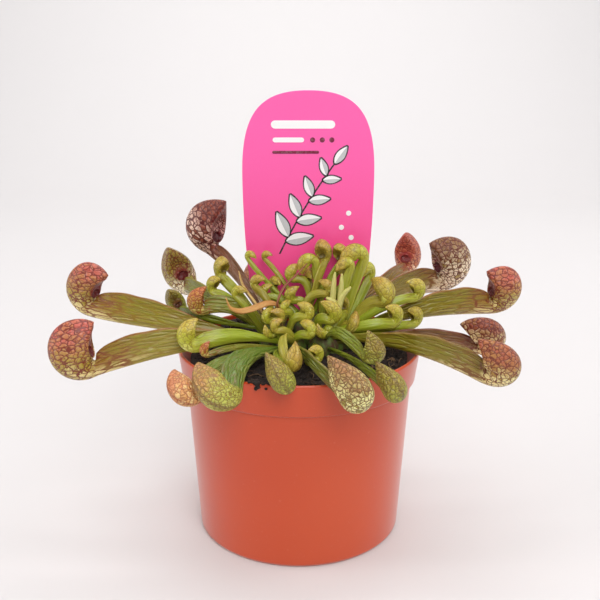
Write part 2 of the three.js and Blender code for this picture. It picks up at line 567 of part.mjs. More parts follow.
clumps.forEach(({ name, on, pitchers }) => {
  const { at, radius, rise } = growingPoints[on];
  const core = new THREE.SphereGeometry(1, coreDetail.around, coreDetail.down); // the growing point
  core.scale(radius, radius, rise);
  core.translate(...at);
  const shoots = pitchers.map((shape) => pitcherGeometry({ ...young, ...shape }, youngDetail));
  place(name, [core, ...shoots], 'lime');
});

grownPitchers.forEach((grown) => {
  place(grown.name, [pitcherGeometry({ ...grown, foot: footOn(grown) }, grownDetail)], grown.colour);
});

straps.forEach(({ name, colour, leaves }) => {
  place(name, leaves.map(strapGeometry), colour);
});

place('soil', [soilGeometry()], 'peat', 0.95);

const drain = new THREE.CylinderGeometry(pot.holeRadius, pot.holeRadius, 4 * pot.floor, drainSides);
drain.rotateX(Math.PI / 2);
drain.translate(pot.holeRing, 0, 0);
let potShell = toSolid(turned(potOutline(), pot.sides));
for (let i = 0; i < pot.holes; i += 1) {
  potShell = potShell.subtract(toSolid(drain.clone().rotateZ((i * 2 * Math.PI) / pot.holes)));
}
addMesh('pot', potShell, material('terracotta', 0.45));

export default part;
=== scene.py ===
import json
import math
import random

import bmesh
import bpy
import numpy as np
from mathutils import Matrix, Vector, noise


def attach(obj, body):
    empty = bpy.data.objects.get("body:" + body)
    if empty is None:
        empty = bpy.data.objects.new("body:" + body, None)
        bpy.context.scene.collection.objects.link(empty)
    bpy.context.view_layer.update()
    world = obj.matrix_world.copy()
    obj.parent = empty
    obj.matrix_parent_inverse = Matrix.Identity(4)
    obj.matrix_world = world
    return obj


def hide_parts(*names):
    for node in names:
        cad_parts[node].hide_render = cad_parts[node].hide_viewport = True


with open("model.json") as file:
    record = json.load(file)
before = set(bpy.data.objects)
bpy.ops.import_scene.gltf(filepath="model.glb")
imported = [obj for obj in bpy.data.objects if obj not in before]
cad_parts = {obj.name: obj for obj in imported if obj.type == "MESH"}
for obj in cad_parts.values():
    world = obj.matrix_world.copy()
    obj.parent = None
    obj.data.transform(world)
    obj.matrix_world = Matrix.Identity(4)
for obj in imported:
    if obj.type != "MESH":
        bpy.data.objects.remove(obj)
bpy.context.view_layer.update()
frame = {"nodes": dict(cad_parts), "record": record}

mm = 0.001
print("frame loaded:", len(frame["nodes"]), "nodes")

# the photograph's camera: a little above the plant, looking down on it
camera = {
    "place": (0.0, -326.5, 183.4),
    "tilt": 16.21,
    "lens": 55.19,
    "sensor": 36,
    "shift": 1 / 600,
    "nearest": 10,
}


def setCamera():
    data = bpy.data.cameras.new("camera")
    data.lens = camera["lens"]
    data.sensor_width = camera["sensor"]
    data.shift_x = camera["shift"]
    data.clip_start = camera["nearest"] * mm
    eye = bpy.data.objects.new("camera", data)
    eye.location = Vector(camera["place"]) * mm
    eye.rotation_euler = (math.radians(90 - camera["tilt"]), 0, 0)
    bpy.context.scene.collection.objects.link(eye)
    bpy.context.scene.camera = eye


setCamera()
bpy.context.scene.view_settings.view_transform = "Standard"  # colours as in a plain product photograph


# small helpers for meshes and finishes

def makePiece(name, points, faces, finish, smooth=True):
    mesh = bpy.data.meshes.new(name)
    mesh.from_pydata((np.asarray(points) * mm).tolist(), [], faces)
    mesh.polygons.foreach_set("use_smooth", [smooth] * len(mesh.polygons))
    mesh.materials.append(finish)
    mesh.update()
    piece = bpy.data.objects.new(name, mesh)
    bpy.context.scene.collection.objects.link(piece)
    return piece


def seat(piece, slot, *nodes):
    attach(piece, "root")
    if nodes:
        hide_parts(*nodes)


def storeVectors(piece, name, values):
    attribute = piece.data.attributes.new(name, "FLOAT_VECTOR", "POINT")
    attribute.data.foreach_set("vector", np.asarray(values, np.float32).ravel())


def paint(red, green, blue):
    # the colour as it looks on a screen, from 0 to 255
    channels = [value / 255 for value in (red, green, blue)]
    return tuple(c / 12.92 if c < 0.04045 else ((c + 0.055) / 1.055) ** 2.4 for c in channels) + (1.0,)


def addNode(tree, kind, inputs=None, **settings):
    node = tree.nodes.new(kind)
    for key, value in settings.items():
        setattr(node, key, value)
    for key, value in (inputs or {}).items():
        if isinstance(value, bpy.types.NodeSocket):
            tree.links.new(value, node.inputs[key])
        else:
            node.inputs[key].default_value = value
    return node


def mixed(tree, share, first, second):
    node = addNode(tree, "ShaderNodeMix", {0: share, 6: first, 7: second}, data_type="RGBA")
    return node.outputs[2]


def eased(tree, value, low, high, start=0.0, end=1.0):
    node = addNode(tree, "ShaderNodeMapRange", {0: value, 1: low, 2: high, 3: start, 4: end},
                   interpolation_type="SMOOTHSTEP")
    return node.outputs[0]


def computed(tree, operation, first, second=0.0):
    return addNode(tree, "ShaderNodeMath", {0: first, 1: second}, operation=operation).outputs[0]


def scaled(tree, vector, scale):
    return addNode(tree, "ShaderNodeVectorMath", {0: vector, 1: scale}, operation="MULTIPLY").outputs[0]


def blended(tree, share, first, second):
    return addNode(tree, "ShaderNodeMix", {0: share, 2: first, 3: second}, data_type="FLOAT").outputs[0]


def product(tree, first, second):
    return computed(tree, "MULTIPLY", first, second)


def added(tree, first, second):
    return addNode(tree, "ShaderNodeVectorMath", {0: first, 1: second}, operation="ADD").outputs[0]


def pushed(tree, vector, push, amount):
    node = addNode(tree, "ShaderNodeVectorMath", {0: push, 1: amount, 2: vector}, operation="MULTIPLY_ADD")
    return node.outputs[0]


def noiseOf(tree, vector, scale, detail=3.0, roughness=0.55):
    node = addNode(tree, "ShaderNodeTexNoise",
                   {"Vector": vector, "Scale": scale, "Detail": detail, "Roughness": roughness})
    return node.outputs[0]


def cellEdges(tree, vector, scale):
    node = addNode(tree, "ShaderNodeTexVoronoi", {"Vector": vector, "Scale": scale},
                   feature="DISTANCE_TO_EDGE")
    return node.outputs["Distance"]


def cellColour(tree, vector, scale):
    node = addNode(tree, "ShaderNodeTexVoronoi", {"Vector": vector, "Scale": scale})
    return addNode(tree, "ShaderNodeSeparateColor", {0: node.outputs["Color"]}).outputs[0]


def stored(tree, name, output="Vector"):
    # a value that the mesh keeps at its points
    return addNode(tree, "ShaderNodeAttribute", attribute_name=name).outputs[output]


def partsOf(tree, vector):
    return addNode(tree, "ShaderNodeSeparateXYZ", {0: vector}).outputs


def placeOf(tree):
    # the place in the object's own space, in metres
    return addNode(tree, "ShaderNodeTexCoord").outputs["Object"]


def newFinish(name, roughness):
    finish = bpy.data.materials.new(name)
    finish.use_nodes = True
    tree = finish.node_tree
    shader = tree.nodes["Principled BSDF"]
    shader.inputs["Roughness"].default_value = roughness
    return finish, tree, shader


def letLightIn(shader, weight):
    # leaves glow a little where light comes through them
    shader.inputs["Subsurface Weight"].default_value = weight
    shader.inputs["Subsurface Radius"].default_value = (1.0, 0.6, 0.3)
    shader.inputs["Subsurface Scale"].default_value = 1 * mm


def raised(tree, shader, height, distance, strength):
    bump = addNode(tree, "ShaderNodeBump", {"Height": height, "Distance": distance, "Strength": strength})
    tree.links.new(bump.outputs[0], shader.inputs["Normal"])


def smoothStep(x):
    x = np.clip(x, 0, 1)
    return x * x * (3 - 2 * x)


# pitchers: the same rules as the solids, in millimetres, with finer steps

# what every pitcher has unless its own line says otherwise
usual = {
    "roll": 0, "turn": 95, "arm": 0.42, "wide": 0.41, "footShare": 0.42, "curl": 0.12, "dish": 0.08,
    "beak": 0.1, "lowering": 0.2,
}
young = {"footShare": 0.8, "wing": 0.5}  # young ones are nearly as thick at the foot as at the hood
footDepth = 1.2  # how far a pitcher's foot is set into its growing point
# a tube is a little narrower than it is high, and a wing with a slight wave stands on its top
tubeForm = {
    "halfWidth": 0.46, "wingEdge": 0.35, "wingRoot": math.radians(64), "fullWing": 0.8,
    "wingStart": 0.05, "wingGrows": 0.6, "wingFades": 0.72, "wingRise": 0.8, "wingTaper": 2.6,
    "thickening": 1.05, "waveHeight": 0.05, "wavePace": 0.55, "flushedWing": 2,
}
# how a hood grows round the mouth's corner: shares of its whole turn, of its height or of its width
hoodForm = {
    "corner": 0.05, "highestAt": 0.73, "widestAt": 0.62, "narrowsFrom": 0.75, "narrowing": 0.18,
    "pointedFrom": 0.5, "pointed": 0.55, "curlsFrom": 0.55, "beakSpread": 0.09,
    "mouth": 0.3, "mouthWidth": 0.55, "rim": 0.96, "funnel": 0.9, "funnelWidth": 0.4,
    "faceTurn": 22, "funnelTurn": 14, "swelling": 1.5, "faceTurnsFrom": 0.25, "faceCurve": 1.1,
    "faceNarrowing": 1.3, "faceFlattening": 0.45, "beakSharpness": 8, "curlPower": 3,
    "beakOut": 0.8, "beakOn": 0.6,
}
veinForm = {"onLeaf": 9, "onWing": 0.8}  # long veins from top to bottom, and on each mm of wing
grownSteps = {"sides": 34, "tube": 40, "hood": 40, "face": 14, "funnel": 4}
youngSteps = {"sides": 20, "tube": 18, "hood": 18, "face": 6, "funnel": 3}

# the thick ends of the rootstock, which stand in the soil and which the leaves rise from
growingPoints = {
    "west": {"at": (-9, 6, 71), "radius": 6, "rise": 7},
    "north": {"at": (5, 9, 73), "radius": 7, "rise": 9},
    "east": {"at": (13, 4, 72), "radius": 6.5, "rise": 8},
    "south": {"at": (-3, -4, 71), "radius": 5.5, "rise": 6},
    "southEast": {"at": (9, -3, 71), "radius": 5.5, "rise": 6.5},
}

# each starts on a growing point, at a height above its middle, on the bearing of its mouth; aim is the
# heading and the lift in degrees where the tube meets the hood, and hood, tube and wing are heights there
grownPitchers = {
    "pitcher_left_low": dict(
        on="south", above=4.5, mouth=(-72.2, -20, 72.7), aim=(183, -12), roll=-6, arm=0.45, hood=17.4,
        tube=5.5, wing=6, turn=104, lowering=0.32, curl=0, beak=0.02, dish=0.1, look="red"),
    "pitcher_left_high": dict(
        on="west", above=-0.5, mouth=(-78.5, 14, 84.5), aim=(152, 11), hood=15, tube=6.5, wing=6, turn=112,
        lowering=0.34, curl=0, beak=0.02, dish=0.26, look="red"),
    "pitcher_left_back": dict(
        on="west", above=2, mouth=(-46, 36, 86), aim=(110, -6), roll=-25, hood=16, tube=5.5, wing=3.5,
        turn=90, look="olive"),
    "pitcher_left_tall": dict(
        on="west", above=4, mouth=(-32.4, 38, 100.8), aim=(156, 46), roll=-8, arm=0.3, hood=18.7, tube=6,
        wing=1.2, turn=55, lowering=0, curl=0.04, beak=0.04, look="maroon"),
    "pitcher_left_small": dict(
        on="west", above=4, mouth=(-46, 16, 80.5), aim=(112, 0), roll=-30, hood=9, tube=3.4, wing=2.5,
        turn=90, look="green"),
    "pitcher_left_middle": dict(
        on="west", above=4, mouth=(-35.5, 4, 85.5), aim=(178, -6), hood=7, tube=3.6, wing=3.5,
        look="amber"),
    "pitcher_left_curled": dict(
        on="south", above=3, mouth=(-36, -22, 81.5), aim=(186, -8), hood=6.9, tube=5.4, wing=1, turn=104,
        lowering=0.28, curl=0.02, beak=0.04, look="lime"),
    "pitcher_left_tiny": dict(
        on="south", above=1, mouth=(-31.5, -24, 77), aim=(198, -8), hood=3.4, tube=2.2, wing=0.6, turn=98,
        look="amber"),
    "pitcher_right_high": dict(
        on="east", above=3, mouth=(73.5, 16, 85), aim=(17, 2), roll=18, hood=14.4, tube=6.6, wing=5.5,
        turn=104, lowering=0.32, curl=0, beak=0.02, dish=0.2, look="red"),
    "pitcher_right_low": dict(
        on="southEast", above=5, mouth=(65.6, -23, 71.1), aim=(345, -19), roll=28, hood=13.1, tube=7,
        wing=4.8, turn=117, lowering=0.2, curl=0.04, beak=0.04, look="russet"),
    "pitcher_right_middle": dict(
        on="southEast", above=2, mouth=(66.3, -3, 73), aim=(350, -9.5), roll=24, hood=12, tube=4.4, wing=3,
        turn=136, lowering=0.26, curl=0.02, beak=0.04, dish=0.12, look="dusk"),
    "pitcher_right_back": dict(
        on="east", above=4, mouth=(55.9, 37.1, 88.9), aim=(20, 9), roll=15, hood=17, tube=7.6, wing=4.5,
        turn=102, lowering=0.22, curl=0, beak=0.02, dish=0.12, look="netted"),
    "pitcher_right_far": dict(
        on="north", above=3, mouth=(45, 54, 88.5), aim=(72, 3), hood=14, tube=5, wing=3, turn=88,
        look="ember"),
    "pitcher_front_left": dict(
        on="south", above=-0.5, mouth=(-34, -47, 72.2), aim=(255, -16), roll=60, hood=9.6, tube=3.6, wing=2,
        turn=100, look="gold"),
    "pitcher_front_broad": dict(
        on="south", above=1.5, mouth=(-23.2, -50, 74), aim=(264, -16), roll=58, hood=12.5, tube=5, wing=4,
        turn=100, look="moss"),
    "pitcher_front_middle": dict(
        on="south", above=0, mouth=(-5.5, -46, 76), aim=(285, -14), roll=34, hood=10, tube=3.6, wing=2,
        turn=100, look="green"),
    "pitcher_front_right": dict(
        on="south", above=2, mouth=(13.9, -51, 74.2), aim=(320, -26), roll=31, hood=14, tube=4.6, wing=2.5,
        turn=108, look="bubbly"),
    "pitcher_front_corner": dict(
        on="southEast", above=1, mouth=(28.4, -46.5, 73.5), aim=(311, -24), roll=30, arm=0.3, hood=10,
        tube=3.6, wing=0.8, turn=105, look="green"),
    "pitcher_front_inner": dict(
        on="southEast", above=4.5, mouth=(21.6, -36.4, 82.1), aim=(338, -35), roll=18, hood=8.1, tube=3.4,
        wing=1.5, turn=100, look="green"),
    "pitcher_back_left": dict(
        on="west", above=0, mouth=(-17, 54, 78), aim=(112, 3), hood=13, tube=5, wing=4, look="red"),
    "pitcher_back_middle": dict(
        on="west", above=2, mouth=(1, 60, 84), aim=(90, 8), hood=14, tube=5, wing=4, look="olive"),
    "pitcher_back_right": dict(
        on="east", above=0, mouth=(22, 56, 78), aim=(80, 4), hood=14, tube=5, wing=4, look="red"),
}

youngPitchers = {
    "young_pitchers_left": dict(on="west", shoots=[
        dict(foot=(-12, 9, 74), mouth=(-29, 16, 94.5), aim=(120, 25), hood=6.7, tube=4.1, wing=1),
        dict(foot=(-13, 7, 73), mouth=(-32, 14, 89), aim=(136, 14), hood=5.1, tube=3.6, wing=0.8, turn=105),
        dict(foot=(-13, 5, 74), mouth=(-22.4, 4, 89.5), aim=(165, 55), hood=3.5, tube=2.7, turn=100),
        dict(foot=(-9, 8, 76), mouth=(-15.5, 9, 92), aim=(150, 40), hood=3.9, tube=3, turn=100),
        dict(foot=(-8, 9, 76), mouth=(-9, 13, 90), aim=(120, 55), hood=4.4, tube=3.4),
    ]),
    "young_pitchers_back": dict(on="north", shoots=[
        dict(foot=(4, 7, 80), mouth=(-1.5, 10, 95.5), aim=(190, 6), hood=4.4, tube=3, turn=108),
        dict(foot=(3, 5, 78), mouth=(-1.5, 6, 88), aim=(184, 2), roll=-6, hood=4.4, tube=2.8, turn=100),
        dict(foot=(9, 5, 79), mouth=(4.5, 8, 100), aim=(180, 68), roll=180, hood=5.2, tube=3.2, turn=112),
        dict(foot=(3, 8, 80), mouth=(9, 10, 101.5), aim=(80, 24), roll=-10,
             hood=7.8, tube=3, wing=1, turn=90),
        dict(foot=(5, 9, 80), mouth=(15.5, 14, 100), aim=(70, 24), roll=-12,
             hood=6.8, tube=3, wing=1, turn=86),
        dict(foot=(1, 9, 80), mouth=(-18.7, 13, 101.6), aim=(155, 66), arm=0.25,
             hood=2.8, tube=1.8, turn=112),
        dict(foot=(2, 10, 81), mouth=(-12.3, 14, 101.2), aim=(152, 48), arm=0.3,
             hood=2.8, tube=1.8, turn=100),
        dict(foot=(1, 5, 80), mouth=(9.6, 2, 92), aim=(352, 8), arm=0.5, hood=4, tube=3, turn=112),
        dict(foot=(8, 6, 80), mouth=(18.5, 10, 95), aim=(20, 50), hood=4.2, tube=3, turn=105),
        dict(foot=(0, 7, 79), mouth=(-12, 10, 88.5), aim=(175, 12), hood=3.6, tube=2.6, turn=105),
        dict(foot=(4, 9, 81), mouth=(4, 12.5, 93), aim=(100, 60), hood=5, tube=3.2),
    ]),
    "young_pitchers_right": dict(on="east", shoots=[
        dict(foot=(16, 6, 76), mouth=(22, 9, 101.5), aim=(8, 82), hood=7, tube=3.9, turn=110),
        dict(foot=(17, 7, 75), mouth=(25.5, 12, 95), aim=(30, 75), roll=8, hood=5.7, tube=3.9, turn=110),
        dict(foot=(14, 3, 77), mouth=(17.5, 5, 99.5), aim=(28, 80), hood=4.4, tube=3.4, turn=105),
        dict(foot=(17, 2, 75), mouth=(30, 1, 89.5), aim=(320, 28), roll=-8, hood=7.6, tube=4.1, wing=1.2),
        dict(foot=(17, 3, 75), mouth=(42.5, 3, 90.5), aim=(25, 8), roll=6, hood=5.7, tube=3.6, turn=112),
        dict(foot=(18, 4, 74.5), mouth=(42.6, 4.4, 79.4), aim=(36, 6), roll=8,
             hood=5.5, tube=3.6, turn=112),
    ]),
    "young_pitchers_front": dict(on="south", shoots=[
        dict(foot=(-4, -3, 76), mouth=(2, -8, 86), aim=(342, 8), roll=-6, hood=4.2, tube=3.2, turn=120),
        dict(foot=(-3, -6, 74), mouth=(3, -12, 80.5), aim=(325, 22), roll=-8, hood=4.2, tube=3.2, turn=120),
        dict(foot=(-4, -2, 76), mouth=(-4.5, -4, 86.5), aim=(215, 22), roll=8,
             hood=3.2, tube=2.5, turn=105),
        dict(foot=(-5, -4, 75), mouth=(-8, -7, 84), aim=(25, 16), hood=3.5, tube=2.7, turn=115),
        dict(foot=(-7, -3, 74), mouth=(-11, -5, 83.5), aim=(218, 25), roll=6, hood=3.5, tube=2.7, turn=105),
        dict(foot=(-6, -6, 73), mouth=(-10, -10, 80), aim=(210, -60), hood=3.5, tube=2.7),
        dict(foot=(-1, -7, 74), mouth=(-7.5, -11, 81.5), aim=(192, 10), roll=6,
             hood=3.2, tube=2.5, turn=110),
        dict(foot=(-2, -8, 74.5), mouth=(-3.8, -33, 78.4), aim=(300, -45), roll=-8,
             hood=7.2, tube=3.4, wing=1.2),
    ]),
    "young_pitchers_middle": dict(on="southEast", shoots=[
        dict(foot=(10, -2, 76), mouth=(16.5, 0, 84.5), aim=(85, 15), hood=5.5, tube=3.2, wing=0.8, turn=92),
        dict(foot=(7, -3, 76), mouth=(10.5, -8, 85.5), aim=(352, 4), roll=10, hood=5.5, tube=4.1, turn=108),
        dict(foot=(9, -4, 76), mouth=(9.5, -9, 80), aim=(200, -62), hood=3.9, tube=3),
        dict(foot=(10, -1, 76), mouth=(19, -4, 80.5), aim=(284, -1), roll=-25, hood=5.1, tube=3.4),
        dict(foot=(12, -1, 76), mouth=(33.5, -5, 83), aim=(32, 2), roll=8, hood=5.7, tube=4.3, turn=112),
        dict(foot=(6, -7, 73), mouth=(5.5, -24, 75), aim=(40, 18), hood=4.2, tube=3.2, turn=112),
    ]),
}


def unit(vector):
    return vector / np.linalg.norm(vector)


def turnedAbout(vector, axis, angle):
    along = axis * np.dot(axis, vector)
    across = vector - along
    return along + across * math.cos(angle) + np.cross(axis, across) * math.sin(angle)


def footOn(shape):
    # a point just inside the growing point's skin, on the bearing of the mouth
    point = growingPoints[shape["on"]]
    x, y, z = point["at"]
    bearing = math.atan2(shape["mouth"][1] - y, shape["mouth"][0] - x)
    out = (point["radius"] - footDepth) * math.sqrt(1 - (shape["above"] / point["rise"]) ** 2)
    return (x + out * math.cos(bearing), y + out * math.sin(bearing), z + shape["above"])


def pitcherFrame(shape):
    heading, lift = (math.radians(angle) for angle in shape["aim"])
    along = np.array([math.cos(lift) * math.cos(heading), math.cos(lift) * math.sin(heading), math.sin(lift)])
    upward = unit(np.array([0, 0, 1.0]) - along * along[2])
    upward = turnedAbout(upward, along, math.radians(shape["roll"]))
    return along, upward, np.cross(along, upward)


class Leaf:
    # rings of points, with what each point needs for its colour
    def __init__(self, sides):
        self.sides = sides
        self.points = []
        self.flow = []  # the leaf with its tube laid straight: along it, down from its top, and across, in mm
        self.zones = []  # hood or tube, height on the hood, how far onto the face
        self.edges = []  # share of the length, share from top to bottom, up the wing
        self.ribs = []  # a whole number on each long vein

    def addRing(self, points, flow, zones, edges, ribs):
        self.points.append(points)
        self.flow.append(flow)
        self.zones.append(zones)
        self.edges.append(edges)
        self.ribs.append(ribs)


def stacked(*columns, count):
    return np.stack([np.broadcast_to(np.asarray(column, float), (count,)) for column in columns], axis=1)


def tubePart(leaf, shape, axes, foot, mouth, steps):
    form = tubeForm
    along, upward, _ = axes
    sides = leaf.sides
    via = mouth - along * shape["arm"] * np.linalg.norm(mouth - foot)
    end = mouth - upward * (shape["fillet"] + shape["tube"] / 2)
    share = np.linspace(0, 1, steps)
    left = 1 - share
    line = np.outer(left ** 2, foot) + np.outer(2 * share * left, via) + np.outer(share ** 2, end)
    slope = 2 * np.outer(left, via - foot) + 2 * np.outer(share, end - via)
    slope /= np.linalg.norm(slope, axis=1)[:, None]
    slope[-1] = along
    length = np.concatenate([[0], np.cumsum(np.linalg.norm(np.diff(line, axis=0), axis=1))])
    angle = (np.arange(sides) + 0.5) * 2 * math.pi / sides
    fromTop = np.minimum(angle, 2 * math.pi - angle)
    root = form["wingRoot"]
    climb = np.clip((root - fromTop) / (root - math.pi / sides), 0, 1)
    out = (1 - np.cos(angle)) / 2
    leans = [None] * steps
    lean = upward.copy()
    for i in range(steps - 1, -1, -1):
        lean = unit(lean - slope[i] * np.dot(lean, slope[i]))
        leans[i] = lean
    fadeFrom = form["wingFades"]
    for i in range(steps):
        s = share[i]
        grown = smoothStep(s * form["thickening"])
        thickness = shape["tube"] * (shape["footShare"] + (1 - shape["footShare"]) * grown)
        fade = math.sqrt(max(0, 1 - max(0, (s - fadeFrom) / (1 - fadeFrom)) ** 2))
        wing = shape["wing"] * smoothStep((s - form["wingStart"]) / form["wingGrows"]) * fade
        high, wide = thickness / 2, thickness * form["halfWidth"]
        rootHeight, rootWidth = high * math.cos(root), wide * math.sin(root)
        height = high * np.cos(angle)
        width = wide * np.sin(angle)
        bladeHeight = rootHeight + (high + wing - rootHeight) * climb ** form["wingRise"]
        bladeWidth = form["wingEdge"] + (rootWidth - form["wingEdge"]) * (1 - climb) ** form["wingTaper"]
        blend = np.where(climb > 0, min(1, wing / form["fullWing"]), 0)
        height = height + (bladeHeight - height) * blend
        width = width + (np.sign(width) * bladeWidth - width) * blend
        swing = math.sin(length[i] * form["wavePace"] + shape["mouth"][0])
        wave = form["waveHeight"] * wing * climb ** 2 * swing
        sideways = np.cross(slope[i], leans[i])
        points = line[i] + np.outer(height, leans[i]) + np.outer(width + wave, sideways)
        down = high - height
        rise = -(shape["fillet"] + down) / shape["hood"]
        leaf.addRing(points, stacked(length[i], down, width, count=sides),
                     stacked(0, rise, 0, count=sides),
                     stacked(s, out, climb * min(1, wing / form["flushedWing"]), count=sides),
                     out * veinForm["onLeaf"] - climb * wing * veinForm["onWing"])
    return length[-1]


def fanRing(shape, axes, mouth, sides, angle, reach, width, share, point):
    # one half-plane of the hood, turned by an angle about the mouth's corner, its tip drawn out to a beak
    form = hoodForm
    along, upward, sideways = axes
    outward = along * math.cos(angle) + upward * math.sin(angle)
    onward = upward * math.cos(angle) - along * math.sin(angle)
    late = smoothStep((share - form["curlsFrom"]) / (1 - form["curlsFrom"]))
    atTip = math.exp(-(((share - 1) / form["beakSpread"]) ** 2))
    around = (np.arange(sides) + 0.5) * 2 * math.pi / sides
    out = (1 - np.cos(around)) / 2
    tipward = out ** form["curlPower"]
    beak = out ** form["beakSharpness"] * shape["beak"] * shape["hood"] * atTip
    curl = late * shape["hood"] * (shape["curl"] * tipward - shape["dish"] * np.sin(math.pi * out))
    reached = shape["fillet"] + (reach - shape["fillet"]) * out + beak * form["beakOut"]
    across = width * np.sin(around) * (1 - point * tipward)
    points = mouth + np.outer(reached, outward) + np.outer(curl + beak * form["beakOn"], onward)
    return points + np.outer(across, sideways), out


def hoodPart(leaf, shape, axes, mouth, steps, tubeLength):
    # the hood's back, then its face round the mouth, then the mouth's blind funnel
    form, hood, tube, fillet = hoodForm, shape["hood"], shape["tube"], shape["fillet"]
    sides = leaf.sides
    turn, start = math.radians(shape["turn"]), -math.pi / 2
    narrowest = tube * tubeForm["halfWidth"]

    def add(share, angle, reach, width, fanShare, point, face):
        points, out = fanRing(shape, axes, mouth, sides, angle, reach, width, fanShare, point)
        onward, height, across = ((points - mouth) @ axis for axis in axes)
        leaf.addRing(points, stacked(tubeLength + onward, -height - fillet, across, count=sides),
                     stacked(share, height / hood, face, count=sides), stacked(1, out, 0, count=sides),
                     out * veinForm["onLeaf"])

    for i in range(1, steps["hood"] + 1):
        share = i / steps["hood"]
        rise = math.sin(math.pi / 2 * (min(share, form["highestAt"]) / form["highestAt"]) ** form["swelling"])
        fall = 1 - shape["lowering"] * (max(0, share - form["highestAt"]) / (1 - form["highestAt"])) ** 2
        reach = fillet + tube + (hood - tube - fillet) * rise * fall
        width = narrowest + (shape["wide"] * hood - narrowest) * smoothStep(share / form["widestAt"])
        width *= 1 - form["narrowing"] * smoothStep((share - form["narrowsFrom"]) / (1 - form["narrowsFrom"]))
        point = form["pointed"] * smoothStep((share - form["pointedFrom"]) / (1 - form["pointedFrom"]))
        add(share, start + (turn - start) * share, reach, width, share, point, 0)
    opening = form["mouth"] * hood
    for i in range(1, steps["face"] + 1):
        q = i / steps["face"]
        turned = smoothStep((q - form["faceTurnsFrom"]) / (1 - form["faceTurnsFrom"]))
        angle = turn - math.radians(form["faceTurn"]) * turned
        faceReach = reach + (opening - reach) * q ** form["faceCurve"]
        rimWidth = width * form["rim"]
        faceWidth = rimWidth + (opening * form["mouthWidth"] - rimWidth) * q ** form["faceNarrowing"]
        add(1, angle, faceReach, faceWidth, 1 - form["faceFlattening"] * q, form["pointed"] * (1 - q), q)
    for i in range(1, steps["funnel"] + 1):
        q = i / steps["funnel"]
        angle = turn - math.radians(form["faceTurn"] + form["funnelTurn"] * q)
        funnelWidth = form["mouthWidth"] + (form["funnelWidth"] - form["mouthWidth"]) * q
        flattened = (1 - form["faceFlattening"]) * (1 - q)
        add(1, angle, opening * (1 + (form["funnel"] - 1) * q), opening * funnelWidth, flattened, 0, 1 + q)


def growLeaf(shape, steps, foot):
    shape = {**usual, **shape}
    shape["fillet"] = hoodForm["corner"] * shape["hood"]
    leaf = Leaf(steps["sides"])
    axes = pitcherFrame(shape)
    mouth = np.array(shape["mouth"], float)
    tubeLength = tubePart(leaf, shape, axes, np.array(foot, float), mouth, steps["tube"])
    hoodPart(leaf, shape, axes, mouth, steps, tubeLength)
    return leaf


def ringFaces(rings, sides, first):
    # quads between neighbouring rings, and a fan to a point at each end
    faces = []
    for i in range(rings - 1):
        near = first + i * sides
        for j in range(sides):
            k = (j + 1) % sides
            faces.append((near + j, near + k, near + sides + k, near + sides + j))
    footPoint = first + rings * sides
    last = first + (rings - 1) * sides
    for j in range(sides):
        k = (j + 1) % sides
        faces.append((footPoint, first + k, first + j))
        faces.append((footPoint + 1, last + j, last + k))
    return faces


def leafPiece(name, leaves, finish, tints):
    # one mesh of several leaves, each with a tint of its own
    points, flow, zones, edges, ribs, tint, faces = [], [], [], [], [], [], []
    count = 0
    for leaf, shade in zip(leaves, tints):
        rings = len(leaf.points)
        rows = ((points, leaf.points), (flow, leaf.flow), (zones, leaf.zones), (edges, leaf.edges))
        for store, part in rows:
            whole = np.concatenate(part)
            ends = np.stack([part[0].mean(0), part[-1].mean(0)])
            store.append(np.concatenate([whole, ends]))
        ribs.append(np.concatenate(leaf.ribs + [[0, 0]]))
        faces += ringFaces(rings, leaf.sides, count)
        size = rings * leaf.sides + 2
        tint.append(np.tile(shade, (size, 1)))
        count += size
    piece = makePiece(name, np.concatenate(points), faces, finish)
    for word, values in (("flow", flow), ("zones", zones), ("edges", edges), ("tint", tint)):
        storeVectors(piece, word, np.concatenate(values))
    veins = piece.data.attributes.new("ribs", "FLOAT", "POINT")
    veins.data.foreach_set("value", np.concatenate(ribs).astype(np.float32))
    return piece


